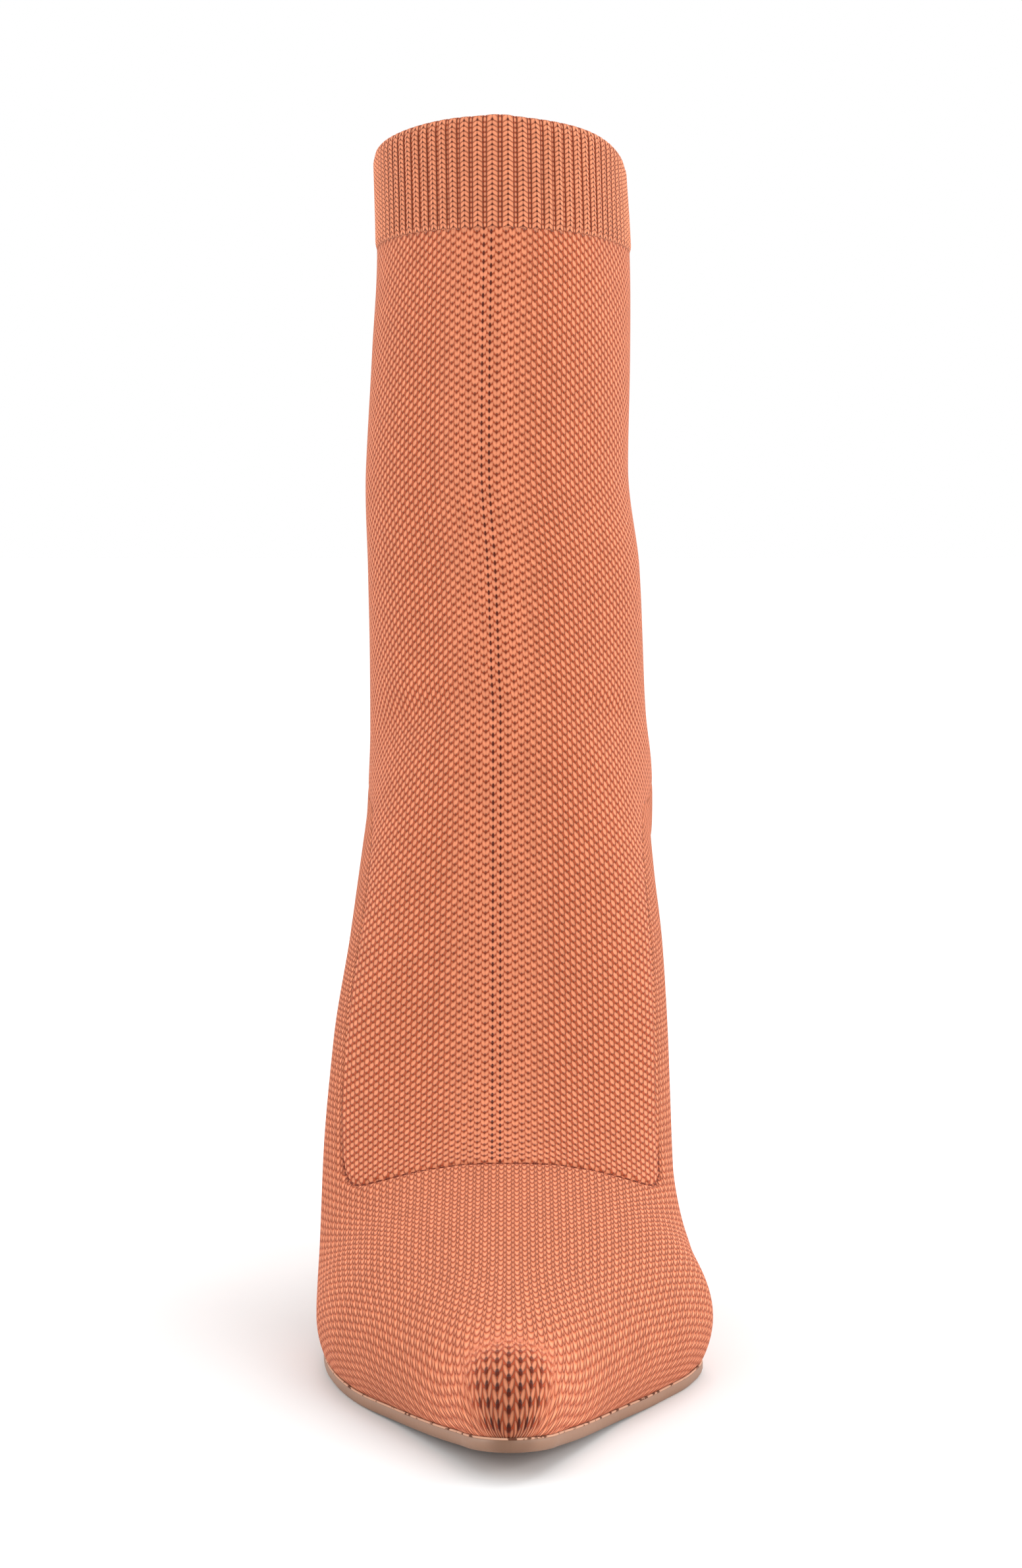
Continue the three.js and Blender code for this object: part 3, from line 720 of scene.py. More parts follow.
class Shader:
    """A material's node tree."""

    def __init__(self, name: str) -> None:
        """Make an empty material."""
        self.material = bpy.data.materials.new(name)
        self.material.use_nodes = True
        self.tree = self.material.node_tree
        self.tree.nodes.clear()

    def node(
        self, kind: str, settings: dict[str, Any], inputs: dict[Any, Any], output: Any = 0
    ) -> Value | None:
        """Add a node.

        Args:
            kind: The node's type.
            settings: Its own settings, which are set first.
            inputs: Values or links of its sockets, by name or place.
            output: The output wanted, by name or place.

        Returns:
            That output, or None from a node that has none.
        """
        made = self.tree.nodes.new(kind)
        for name, setting in settings.items():
            setattr(made, name, setting)
        for name, value in inputs.items():
            if isinstance(value, Value):
                self.tree.links.new(value.socket, made.inputs[name])
            else:
                made.inputs[name].default_value = value
        return Value(self, made.outputs[output]) if made.outputs else None

    def part(self, vector: Value, axis: str) -> Value:
        """Give one part of a vector."""
        return self.node("ShaderNodeSeparateXYZ", {}, {0: vector}, axis)

    def knit_place(self) -> tuple[Value, Value]:
        """Give the wale and the course of the knit map."""
        place = self.node("ShaderNodeUVMap", {"uv_map": "knit"}, {})
        return self.part(place, "X"), self.part(place, "Y")

    def pair(self, x: Value, y: Value) -> Value:
        """Join two numbers into a vector."""
        return self.node("ShaderNodeCombineXYZ", {}, {0: x, 1: y})

    def place(self) -> Value:
        """Give the place on the object, in metres."""
        return self.node("ShaderNodeTexCoord", {}, {}, "Object")

    def noise(self, vector: Value, grain: Grain) -> Value:
        """Give smooth noise from 0 to 1 over a vector."""
        inputs = {"Vector": vector, "Scale": grain.scale, "Detail": grain.detail}
        return self.node("ShaderNodeTexNoise", {}, inputs)

    def stretched(self, vector: Value, factors: Triple) -> Value:
        """Multiply a vector's three parts by factors of their own."""
        return self.node("ShaderNodeVectorMath", {"operation": "MULTIPLY"}, {0: vector, 1: factors})

    def cell_noise(self, x: Value, y: Value) -> Value:
        """Give one random number from 0 to 1 for each pair of whole numbers."""
        return self.node("ShaderNodeTexWhiteNoise", {"noise_dimensions": "2D"}, {"Vector": self.pair(x, y)})

    def blend(self, first: Any, second: Any, share: Value) -> Value:
        """Mix two colours.

        Args:
            first: A colour, as a link or three numbers.
            second: The other colour.
            share: How much of the second there is.

        Returns:
            The mixed colour.
        """
        first, second = (c if isinstance(c, Value) else (*c, 1.0) for c in (first, second))
        settings = {"data_type": "RGBA", "blend_type": "MIX"}
        return self.node("ShaderNodeMix", settings, {0: share, 6: first, 7: second}, 2)

    def shade(self, colour: Value, factor: Value) -> Value:
        """Scale a colour's brightness by a factor."""
        return self.node("ShaderNodeVectorMath", {"operation": "SCALE"}, {0: colour, "Scale": factor})

    def finish(
        self,
        colour: Value,
        roughness: Any,
        constants: dict[str, float],
        height: Value | None = None,
        depth: float = 0.0,
    ) -> bpy.types.Material:
        """Close the tree with a surface.

        Args:
            colour: Base colour.
            roughness: Roughness.
            constants: Other sockets of the surface, by name, the same all over.
            height: Relief from 0 to 1, if there is any.
            depth: The relief's real height in metres.

        Returns:
            The material.
        """
        inputs = {"Base Color": colour, "Roughness": roughness, **constants}
        if height is not None:
            bump = {"Height": height, "Distance": depth, "Strength": 1.0}
            inputs["Normal"] = self.node("ShaderNodeBump", {}, bump)
        surface = self.node("ShaderNodeBsdfPrincipled", {}, inputs)
        self.node("ShaderNodeOutputMaterial", {}, {0: surface})
        return self.material


def linear(red: int, green: int, blue: int) -> Colour:
    """Turn a colour of 0 to 255 as seen into the linear values that shading uses."""
    shares = (channel / 255 for channel in (red, green, blue))
    return tuple(s / 12.92 if s <= 0.04045 else ((s + 0.055) / 1.055) ** 2.4 for s in shares)


@dataclass(frozen=True)
class Arm:
    """One arm of a stitch, in shares of a wale and a course."""

    lean: float  # degrees from upright
    reach: float  # its middle from the stitch's centre line
    width: float
    length: float
    rise: float = 0.0

    def height(self, across: Value, down: Value) -> Value:
        """Give the height of both arms of a stitch at a place from its centre, 0 beside the yarn."""
        return self.ridge(abs(across) - self.reach, down - self.rise)

    def ridge(self, side: Value, up: Value) -> Value:
        """Give the height of one arm.

        Args:
            side: Place across the wale from the arm's middle.
            up: Place along the course from the arm's middle.

        Returns:
            The height, 0 beside the yarn and 1 along its crown.
        """
        sin, cos = math.sin(math.radians(self.lean)), math.cos(math.radians(self.lean))
        over = (side * cos - up * sin) / self.width
        along = (side * sin + up * cos) / self.length
        return (1 - over * over - along * along).most(0) ** 0.5


@dataclass(frozen=True)
class Pinhole:
    """A gap between stitches, where shade is painted, in shares of a wale and a course."""

    width: float
    length: float
    edge: Span = Span(0.25, 1.05)  # square of the share of its size at which it starts and ends to fade

    def mask(self, across: Value, along: Value, longer: Any = 0.0) -> Value:
        """Give 1 in the gap's middle and 0 outside it, at a place from its centre."""
        return ((across / self.width) ** 2 + (along / (longer + self.length)) ** 2).fade(self.edge)


class Drawn(NamedTuple):
    """What a stitch draws: its height, how much painted shade darkens its gaps and creases, and a random
    number for each stitch.
    """

    height: Value
    gap_shade: Value
    chance: Value


@dataclass(frozen=True)
class LegStitch:
    """Staggered hearts down the front of the leg, which turn into slanting leaves at its sides."""

    heart: Arm = Arm(33, 0.25, 0.33, 0.57, 0.02)
    heart_height: float = 0.78
    leaf: Arm = Arm(50, 0.0, 0.39, 0.58)
    leaf_share: float = 0.85
    turning: Span = Span(2, 10)  # wales from the front over which hearts turn into leaves
    groove: Span = Span(0.26, 0.5)
    groove_depth: float = 0.2
    pinhole: Pinhole = Pinhole(0.17, 0.25)
    front_longer: float = 0.1
    front_line: Span = Span(0.9, 1.5)  # wales over which the darker painted shade in the pinholes down the front ends
    near_front: Span = Span(2, 8)
    # how much painted shade darkens the pinholes at the sides, near the front and down the front line
    side_hole: float = 0.4
    near_hole: float = 0.2
    front_hole: float = 0.4

    def draw(self, shader: Shader, wale: Value, course: Value) -> Drawn:
        """Draw the stitch.

        Args:
            shader: The material.
            wale: Wale number.
            course: Course number.

        Returns:
            Its height, the painted shade of its gaps and its random number.
        """
        number = wale.nearest()
        across = wale - number
        dropped = course + number * HALF
        row = dropped.nearest()
        down = dropped - row
        from_front = wale + HALF
        beside = abs(from_front)
        aside = beside.ease(self.turning) * self.leaf_share
        hearts = self.heart.height(across, down) * self.heart_height
        leaf = self.leaf.ridge(across * from_front.sign() * -1, down)
        groove = abs((course + abs(wale) * HALF).off_whole()).ease(self.groove) * aside
        stitches = hearts.towards(leaf, aside) * (1 - self.groove_depth * groove)
        front = beside.fade(self.front_line)
        # painted shade in the pinholes, strongest down the front centre
        dark = self.side_hole + self.near_hole * beside.fade(self.near_front) + self.front_hole * front
        gap_shade = self.pinhole.mask(across, HALF - abs(down), self.front_longer * front)
        return Drawn(stitches, gap_shade * dark, shader.cell_noise(number, row))


@dataclass(frozen=True)
class VampStitch:
    """Ribs of loops with narrow braids between them, opening into long stitches at the toe."""

    loop_sag: float = 3.4
    loop_width: float = 0.34
    braid_slope: float = 1.6
    braid_width: float = 0.19
    braid_height: float = 0.95
    petal: Arm = Arm(19, 0.25, 0.22, 0.53, 0.02)
    toe_courses: Span = Span(5.5, 9.5)  # courses over which the long stitches end
    toe_wales: Span = Span(3.0, 5.6)  # and wales, from the ridge
    # painted shade in the gaps between the toe's long stitches, paler away from the ridge and further back
    pinhole: Pinhole = Pinhole(0.2, 0.34)
    paler_aside: float = 0.5
    aside: Span = Span(1.6, 4.6)
    paler_behind: float = 0.6
    behind: Span = Span(3, 8)

    def draw(self, shader: Shader, wale: Value, course: Value) -> Drawn:
        """Draw the stitch.

        Args:
            shader: The material.
            wale: Wale number.
            course: Course number, counted from the toe tip.

        Returns:
            Its height, the painted shade of its gaps and its random number.
        """
        rib = wale.nearest()
        side = wale - rib
        across = abs(side)
        sagged = course - self.loop_sag * across * across
        row = sagged.nearest()
        loops = (sagged - row).dome(HALF) * across.rounded(self.loop_width)
        beside = HALF - across
        chain = course + HALF - self.braid_slope * beside
        braid = chain.off_whole().dome(HALF) * beside.rounded(self.braid_width)
        plain = loops.most(braid * self.braid_height)
        from_ridge = abs(wale)
        toe = course.fade(self.toe_courses) * from_ridge.fade(self.toe_wales)
        down = (course + rib * HALF).off_whole()
        petals = self.petal.height(side, down)
        # painted shade in the toe's gaps
        gap = self.pinhole.mask(side, HALF - abs(down)) * toe
        gap = gap * (1 - self.paler_aside * from_ridge.ease(self.aside))
        gap = gap * (1 - self.paler_behind * course.ease(self.behind))
        return Drawn(plain.towards(petals, toe), gap, shader.cell_noise(rib, row))


@dataclass(frozen=True)
class CuffStitch:
    """Ribs of chevrons that point to the collar's edge, with narrow sunken wales between."""

    bead_length: float = 0.51
    arm_place: float = 0.18
    arm_width: float = 0.2
    sunken: Arm = Arm(0, 0.0, 0.12, 0.46)
    sunken_height: float = 0.85
    # painted shade in the pinholes and in a thin crease line along the side of each rib
    pinhole: Pinhole = Pinhole(0.09, 0.26, Span(0.2, 1.1))
    pinhole_shade: float = 0.9
    crease_place: float = 0.385
    crease: Span = Span(0.01, 0.06)
    crease_shade: float = 0.5

    def draw(self, shader: Shader, wale: Value, course: Value) -> Drawn:
        """Draw the stitch.

        Args:
            shader: The material.
            wale: Rib number.
            course: Course number.

        Returns:
            Its height, the painted shade of its gaps and creases, and its random number.
        """
        number = wale.nearest()
        across = abs(wale - number)
        phase = course + across * CuffRib.slant
        row = phase.nearest()
        bead = phase - row
        ribs = bead.rounded(self.bead_length) * (across - self.arm_place).rounded(self.arm_width)
        sunken = self.sunken.ridge(HALF - across, (course + HALF).off_whole())
        # painted shade: pinholes in the ribs' middles and a crease line along their sides
        middle = self.pinhole.mask(across, HALF - abs(bead)) * self.pinhole_shade
        crease = abs(across - self.crease_place).fade(self.crease) * self.crease_shade
        height = ribs.most(sunken * self.sunken_height)
        return Drawn(height, middle.most(crease), shader.cell_noise(number, row))


class Stitch(Enum):
    """The boot's kinds of knitting."""

    LEG = LegStitch()
    VAMP = VampStitch()
    CUFF = CuffStitch()


@dataclass(frozen=True)
class KnitFinish:
    """Matte coral yarn, with its stitches as relief, and painted shade in its crevices and pinholes."""

    name: str
    stitch: Stitch
    # the one yarn's brightness on this piece, set to how lit that piece looks: painted light and shade
    tone: float
    depth: float = 0.00055
    crown: float = 1.25  # how soon a stitch leaves the painted crevice shade for the yarn's full colour
    toe_shade: float = 0.0  # how much painted shade darkens the stretched knit at the toe
    toe_courses: Span = Span(1, 9)
    toe_wales: Span = Span(1.5, 6)
    yarn: Colour = linear(212, 132, 97)
    # painted shade: the yarn's colour where it lies deep between stitches
    crevice_shade: Colour = linear(156, 66, 37)
    # painted shade: the colour of the gaps between stitches
    gap_shade: Colour = linear(84, 27, 12)
    rough: Span = Span(0.94, 0.86)  # in the crevices and on the yarn's crown
    even: float = 0.86  # brightness without the tones of stitch, cloud, mottle and fibre
    stitch_tone: float = 0.12
    broad: Grain = Grain(34.0, 3.0)
    broad_tone: float = 0.08
    mottle: Grain = Grain(260.0, 2.0)
    mottle_tone: float = 0.07
    fibre: Grain = Grain(5.0, 3.0)
    fibre_wales: float = 3.0
    fibre_tone: float = 0.08
    fibre_relief: Span = Span(0.9, 1.1)
    hole_depth: float = 0.5
    sheen: float = 0.08
    gloss: float = 0.12

    def material(self) -> bpy.types.Material:
        """Build the material."""
        shader = Shader(self.name)
        wale, course = shader.knit_place()
        height, gap_shade, chance = self.stitch.value.draw(shader, wale, course)
        fibre = shader.noise(shader.pair(wale * self.fibre_wales, course), self.fibre)
        broad = shader.noise(shader.place(), self.broad)
        mottle = shader.noise(shader.place(), self.mottle)
        # painted shade: the yarn turns darker down into its crevices and gaps, standing in for the shade
        # that falls there
        colour = shader.blend(self.crevice_shade, self.yarn, (height * self.crown).least(1))
        colour = shader.blend(colour, self.gap_shade, gap_shade)
        bright = self.even + self.stitch_tone * chance + self.broad_tone * broad
        bright = bright + self.mottle_tone * mottle + self.fibre_tone * fibre
        # painted shade: the stretched knit at the toe is drawn darker
        if self.toe_shade:
            stretched = course.fade(self.toe_courses) * abs(wale).fade(self.toe_wales)
            bright = bright * (1 - self.toe_shade * stretched)
        colour = shader.shade(colour, bright * self.tone)
        relief = height * mix(*self.fibre_relief, fibre) - self.hole_depth * gap_shade
        constants = {"Sheen Weight": self.sheen, "Sheen Roughness": 0.5, GLOSS: self.gloss}
        return shader.finish(colour, mix(*self.rough, height), constants, relief, self.depth)


@dataclass(frozen=True)
class ThreadFinish:
    """The seam's twisted thread, coloured as the knit in shade: painted shade of the sunken seam, with a
    painted highlight along its twist.
    """

    name: str = "seam thread in painted shade"
    # painted shade: the knit's colour as it looks in the shade of the sunken seam
    colour: Colour = linear(92, 38, 24)
    lit: Colour = linear(150, 72, 50)
    lit_share: float = 0.6
    hidden: Colour = linear(176, 96, 66)  # where the knit closes over it between stitches
    stitch: float = 2.1
    gap: Span = Span(0.27, 0.4)
    twist: float = 2.0  # turns a millimetre
    rough: float = 0.8
    depth: float = 0.00008

    def material(self) -> bpy.types.Material:
        """Build the material."""
        shader = Shader(self.name)
        wale, course = shader.knit_place()
        twist = (wale + course * self.twist).wave()
        # painted highlight on the crests of the twist
        colour = shader.blend(self.colour, self.lit, twist * self.lit_share)
        gaps = abs((course / self.stitch).off_whole()).ease(self.gap)
        colour = shader.blend(colour, self.hidden, gaps)
        return shader.finish(colour, self.rough, {GLOSS: 0.2}, twist, self.depth)


@dataclass(frozen=True)
class FibreFinish:
    """Pale dried glue with fibres and small dark spots."""

    name: str = "feather line"
    pale: Colour = linear(196, 150, 124)
    dark: Colour = linear(92, 52, 36)
    spots: Grain = Grain(420.0, 3.0)
    spot: Span = Span(0.54, 0.62)
    grain: Grain = Grain(2500.0, 2.0)
    rough: Span = Span(0.7, 0.9)
    depth: float = 0.00008

    def material(self) -> bpy.types.Material:
        """Build the material."""
        shader = Shader(self.name)
        place = shader.place()
        colour = shader.blend(self.pale, self.dark, shader.noise(place, self.spots).ease(self.spot))
        grain = shader.noise(place, self.grain)
        return shader.finish(colour, mix(*self.rough, grain), {GLOSS: 0.2}, grain, self.depth)


@dataclass(frozen=True)
class SoleFinish:
    """Tan sole leather: a smooth dressed edge and a tread that is scuffed where it meets the floor."""

    name: str = "sole leather"
    edge: Colour = linear(144, 106, 82)
    dark: Colour = linear(120, 86, 64)
    scuffed: Colour = linear(120, 92, 76)
    stained: Colour = linear(86, 52, 30)
    broad: Grain = Grain(40.0, 4.0)
    grain: Grain = Grain(1400.0, 3.0)
    scratches: Grain = Grain(1.0, 4.0)
    along_foot: Triple = (900.0, 60.0, 900.0)  # scratches a metre, across, along and up
    scratch: Span = Span(0.45, 0.62)
    tread: Span = Span(0.05, 0.5)  # millimetres above the floor over which the scuffs end
    tip: Triple = (0.0, -0.122, 0.008)
    stain: Span = Span(2.0, 7.0)  # millimetres from the toe tip over which the stain ends
    cloud: Span = Span(0.35, 1.1)  # share of the edge's colour over the broad noise
    scuff_share: float = 0.6
    rough: Span = Span(0.42, 0.58)
    rougher: float = 0.3  # where it is worn
    depth: float = 0.00003

    def material(self) -> bpy.types.Material:
        """Build the material."""
        shader = Shader(self.name)
        place = shader.place()
        broad = shader.noise(place, self.broad)
        grain = shader.noise(place, self.grain)
        tread = (shader.part(place, "Z") / MILLIMETRE).fade(self.tread)
        scratches = shader.noise(shader.stretched(place, self.along_foot), self.scratches)
        worn = tread * scratches.ease(self.scratch)
        settings = {"operation": "DISTANCE"}
        tip = shader.node("ShaderNodeVectorMath", settings, {0: place, 1: self.tip}, "Value")
        colour = shader.blend(self.dark, self.edge, mix(*self.cloud, broad))
        colour = shader.blend(colour, self.scuffed, worn * self.scuff_share)
        colour = shader.blend(colour, self.stained, (tip / MILLIMETRE).fade(self.stain) * broad)
        relief = grain + self.scuff_share * worn
        rough = mix(*self.rough, grain) + self.rougher * worn
        return shader.finish(colour, rough, {"Coat Roughness": 0.35}, relief, self.depth)


@dataclass(frozen=True)
class HeelFinish:
    """Fine coral knit drawn tightly over the heel block, with painted shade in its crevices."""

    name: str = "heel cover"
    yarn: Colour = linear(204, 118, 85)
    # painted shade: the yarn's colour deep between stitches
    crevice_shade: Colour = linear(160, 80, 54)
    arm: Arm = Arm(28, 0.23, 0.22, 0.58)
    crown: float = 1.3
    even: float = 0.9
    stitch_tone: float = 0.08
    broad: Grain = Grain(60.0, 3.0)
    broad_tone: float = 0.12
    rough: Span = Span(0.9, 0.82)  # in the crevices and on the yarn's crown
    depth: float = 0.00025

    def material(self) -> bpy.types.Material:
        """Build the material."""
        shader = Shader(self.name)
        wale, course = shader.knit_place()
        number, row = wale.nearest(), course.nearest()
        stitch = self.arm.height(wale - number, course - row)
        broad = shader.noise(shader.place(), self.broad)
        # painted shade towards the crevices between stitches
        colour = shader.blend(self.crevice_shade, self.yarn, (stitch * self.crown).least(1))
        chance = shader.cell_noise(number, row)
        colour = shader.shade(colour, self.even + self.stitch_tone * chance + self.broad_tone * broad)
        return shader.finish(colour, mix(*self.rough, stitch), {"Sheen Weight": 0.1}, stitch, self.depth)


@dataclass(frozen=True)
class RubberFinish:
    """Matte dark brown rubber with fine scuffs."""

    name: str = "top piece rubber"
    colour: Colour = linear(58, 42, 34)
    scuffed: Colour = linear(86, 68, 58)
    grain: Grain = Grain(2200.0, 2.0)
    broad: Grain = Grain(220.0, 3.0)
    scuff: Span = Span(0.5, 0.75)
    scuff_share: float = 0.5
    grain_share: float = 0.2
    rough: Span = Span(0.55, 0.75)
    depth: float = 0.00004

    def material(self) -> bpy.types.Material:
        """Build the material."""
        shader = Shader(self.name)
        place = shader.place()
        grain = shader.noise(place, self.grain)
        scuffs = shader.noise(place, self.broad).ease(self.scuff)
        share = scuffs * self.scuff_share + self.grain_share * grain
        colour = shader.blend(self.colour, self.scuffed, share)
        return shader.finish(colour, mix(*self.rough, grain), {GLOSS: 0.4}, grain, self.depth)


@dataclass(frozen=True)
class LiningFinish:
    """Pale lining leather of the sock, with fine pores and clouded by wear."""

    name: str = "sock lining leather"
    colour: Colour = linear(222, 204, 182)
    shadow: Colour = linear(198, 176, 150)
    pores: Grain = Grain(1800.0, 3.0)
    tones: Span = Span(0.94, 1.06)  # brightness over the pores
    broad: Grain = Grain(50.0, 3.0)
    cloud: Span = Span(0.3, 1.1)  # share of the paler colour over the broad noise
    rough: Span = Span(0.5, 0.7)
    depth: float = 0.00005

    def material(self) -> bpy.types.Material:
        """Build the material."""
        shader = Shader(self.name)
        place = shader.place()
        pores = shader.noise(place, self.pores)
        share = mix(*self.cloud, shader.noise(place, self.broad))
        colour = shader.blend(self.shadow, self.colour, share)
        colour = shader.shade(colour, mix(*self.tones, pores))
        return shader.finish(colour, mix(*self.rough, pores), {GLOSS: 0.35}, pores, self.depth)


def dress(piece: bpy.types.Object, material: bpy.types.Material, slot: str, *nodes: str) -> None:
    """Give a piece its material, attach it to the body, hide the solids that it replaces and log its faces.

    Args:
        piece: The piece.
        material: Its material.
        slot: Not used.
        nodes: The solids that it replaces.
    """
    piece.data.materials.append(material)
    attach(piece, BODY)
    if nodes:
        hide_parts(*nodes)
    LOG.info("%s: %d faces", piece.name, len(piece.data.polygons))


class Fold(NamedTuple):
    """A soft ridge or, with a height below 0, a trough of the leg or foot."""

    section: float
    angle: float
    reach: float  # sections
    spread: float  # degrees
    height: float
    slant: float = 0.0  # degrees a section


FOLDS = (
    Fold(16.0, 1, 4.6, 6, 1.2),  # the pressed line down the front of the leg
    Fold(16.2, 30, 2.8, 15, -1.3),  # hollow beside it on the little-toe side
    Fold(15.6, -38, 1.8, 15, -0.5),
    Fold(13.2, 46, 0.6, 26, -0.8, 14),  # ankle, little-toe side
    Fold(13.3, -44, 0.55, 24, -0.7, -14),  # ankle, big-toe side
    Fold(14.1, 40, 0.45, 28, 0.6, 12),
    Fold(14.0, -42, 0.45, 26, 0.6, -12),
    Fold(10.6, 0, 1.6, 30, -0.5),  # instep, where the foot bends
    Fold(19.2, -58, 0.8, 14, -0.7),  # the collar's slack on the big-toe side
    Fold(9.5, 115, 1.5, 16, -0.5),  # waist of the quarters
    Fold(9.5, -115, 1.5, 16, -0.5),
    Fold(13.0, 100, 0.9, 22, 0.5),  # ankle bones
    Fold(13.3, -98, 0.9, 22, 0.6),
    Fold(12.5, -102, 0.9, 24, 1.2),
)


@dataclass
class KnitWall:
    """What the knitted pieces share: the wall, its seam and its soft folds."""

    last: Last
    seam_depth: float = 0.65
    seam_spread: float = 0.8
    side_depth: float = 0.12
    side_start: Span = Span(6.6, 7.2)  # sections between which the seam turns from throat to side
    back_seam_depth: float = 0.55
    back_seam_spread: float = 0.75
    back_start: Span = Span(SEAT, SEAT + 0.3)
    edge_tuck: float = 0.4
    edge_spread: float = 0.7

    def relief(self, number: np.ndarray, angle: np.ndarray, points: np.ndarray) -> np.ndarray:
        """Give how far the outer face stands off the plain form.

        Args:
            number: Section numbers.
            angle: Angles round the sections.
            points: The plain form there.

        Returns:
            Distances, positive outwards.
        """
        depth = mix(self.seam_depth, self.side_depth, smooth_step(number, self.side_start))
        groove = -depth * bell(self.last.from_seam(points), self.seam_spread)
        girth = np.abs(self.last.girth(number[:, 0], angle))
        whole = np.abs(self.last.girth(number[:, 0], np.where(angle < 0, -180.0, 180.0)))
        back = smooth_step(number, self.back_start)
        behind = -self.back_seam_depth * bell(whole - girth, self.back_seam_spread) * back
        tuck = -self.edge_tuck * bell(whole - girth, self.edge_spread) * (1 - back)
        return groove + behind + tuck + self.folds(number, angle)

    def folds(self, number: np.ndarray, angle: np.ndarray) -> np.ndarray:
        """Give the height of the soft folds at section numbers and angles."""
        total = np.zeros_like(angle, dtype=float)
        for fold in FOLDS:
            along = number - fold.section
            aside = angle - fold.angle - fold.slant * along
            total += fold.height * bell(along, fold.reach) * bell(aside, fold.spread)
        return total

    def faces(self, number: np.ndarray, angle: np.ndarray) -> tuple[np.ndarray, np.ndarray]:
        """Give the outer and the inner face of the wall.

        Args:
            number: Section numbers, as a grid.
            angle: Angles, as a grid.

        Returns:
            The outer and the inner grid of points.
        """
        plain = self.last.surface(number, angle)
        inner = self.last.surface(number, angle, self.last.knit_wall)
        relief = self.relief(number, angle, plain)[..., None]
        return plain + unit(plain - inner) * relief, inner


class CuffRib:
    """How the cuff's ribs are drawn, in the mesh and in the yarn."""

    slant = 1.7  # courses by which a chevron falls for each rib of width
    columns = 8  # mesh columns to a rib


@dataclass
class UpperKnit(KnitWall):
    """Vamp, quarters and heel cup, knitted in one closed piece."""

    spacing: float = 1.0
    half_columns: int = 74
    toe_start: float = 1e-5
    toe_wale: float = 2.3
    vamp_wale: float = 1.66
    vamp_wales: Span = Span(0.4, 3)  # sections over which the wales narrow
    toe_course: float = 3.2
    vamp_course: float = 2.25
    vamp_courses: Span = Span(0.6, 2.4)
    quarter_course: float = 1.6
    quarter_courses: Span = Span(6.5, 8.5)
    side: float = 100.0  # the angle along which the quarters' courses are counted
    side_sections: Span = Span(5, 7.5)
    step: float = 0.01  # sections, for the surface's speed

    def rows(self) -> tuple[np.ndarray, np.ndarray, int]:
        """Give the mesh rows.

        Returns:
            Section numbers, the seam's angle at each, and how many rows lie before the throat.
        """
        front = self.last.numbers(self.toe_start, THROAT, self.spacing)[:-1]
        numbers, angles = self.last.seam(self.spacing)
        rows = np.concatenate([front, numbers[:-1]])
        return rows, np.concatenate([np.zeros(len(front)), angles[:-1]]), len(front)

    def knit_map(self, number: np.ndarray, angle: np.ndarray) -> np.ndarray:
        """Give wale and course: wales run along the foot, courses round it.

        Args:
            number: Section numbers, as a grid.
            angle: Angles, as a grid.

        Returns:
            Wale and course numbers.
        """
        rows = number[:, 0]
        side = self.side * smooth_step(rows, self.side_sections)
        near = self.last.surface(np.maximum(rows - self.step, 0), side)
        far = self.last.surface(rows + self.step, side)
        apart = np.where(rows < self.step, rows + self.step, 2 * self.step)
        speed = np.linalg.norm(far - near, axis=-1) / apart
        pitch = mix(self.toe_course, self.vamp_course, smooth_step(rows, self.vamp_courses))
        pitch = mix(pitch, self.quarter_course, smooth_step(rows, self.quarter_courses))
        course = np.cumsum(speed * np.diff(rows, prepend=0.0) / pitch)
        wide = mix(self.toe_wale, self.vamp_wale, smooth_step(rows, self.vamp_wales))
        wale = self.last.girth(rows, angle) / wide[:, None]
        return np.stack([wale, np.broadcast_to(course[:, None], wale.shape)], axis=-1)

    def build(self) -> None:
        """Build the upper."""
        rows, seam_angle, throat = self.rows()
        right = mix(seam_angle[:, None], 180, np.linspace(0, 1, self.half_columns))
        angle = np.concatenate([-right[:, ::-1], right], axis=1)
        number = np.broadcast_to(rows[:, None], angle.shape)
        knit = self.knit_map(number, angle)
        half = self.half_columns
        seat = int(np.searchsorted(rows, SEAT))
        skin = Skin()
        out, into = (skin.add(points) for points in self.faces(number, angle))
        for grid in (out, into):
            grid[: throat + 1, half] = grid[: throat + 1, half - 1]
            grid[seat:, -1] = grid[seat:, 0]
        edges = []
        for columns, left in ((slice(0, half), 0.0), (slice(half, None), 0.25)):
            outer, inner, yarn = out[:, columns], into[:, columns], knit[:, columns]
            skin.patch(outer, yarn, Cell(left, 0.0, left + 0.24, 0.93))
            skin.patch(inner[::-1], yarn[::-1], Cell(left + 0.5, 0.0, left + 0.74, 0.93))
            edges += [(inner[0], outer[0], yarn[0]), (outer[-1], inner[-1], yarn[-1])]
        sole, top = slice(0, seat + 1), slice(throat, None)
        for rows_there, left, right in ((sole, 0, -1), (top, half, half - 1)):
            for first, second, place in ((out, into, left), (into, out, right)):
                edge = (slice(None), place)
                edges.append(tuple(grid[rows_there][edge] for grid in (first, second, knit)))
        skin.close(edges)
        # the vamp's higher tone is painted light, and its toe_shade painted shade
        finish = KnitFinish("vamp knit", Stitch.VAMP, 1.31, 0.00075, crown=0.98, toe_shade=0.42)
        dress(skin.make("upper_knit", self.last), finish.material(), "knit", "upper")


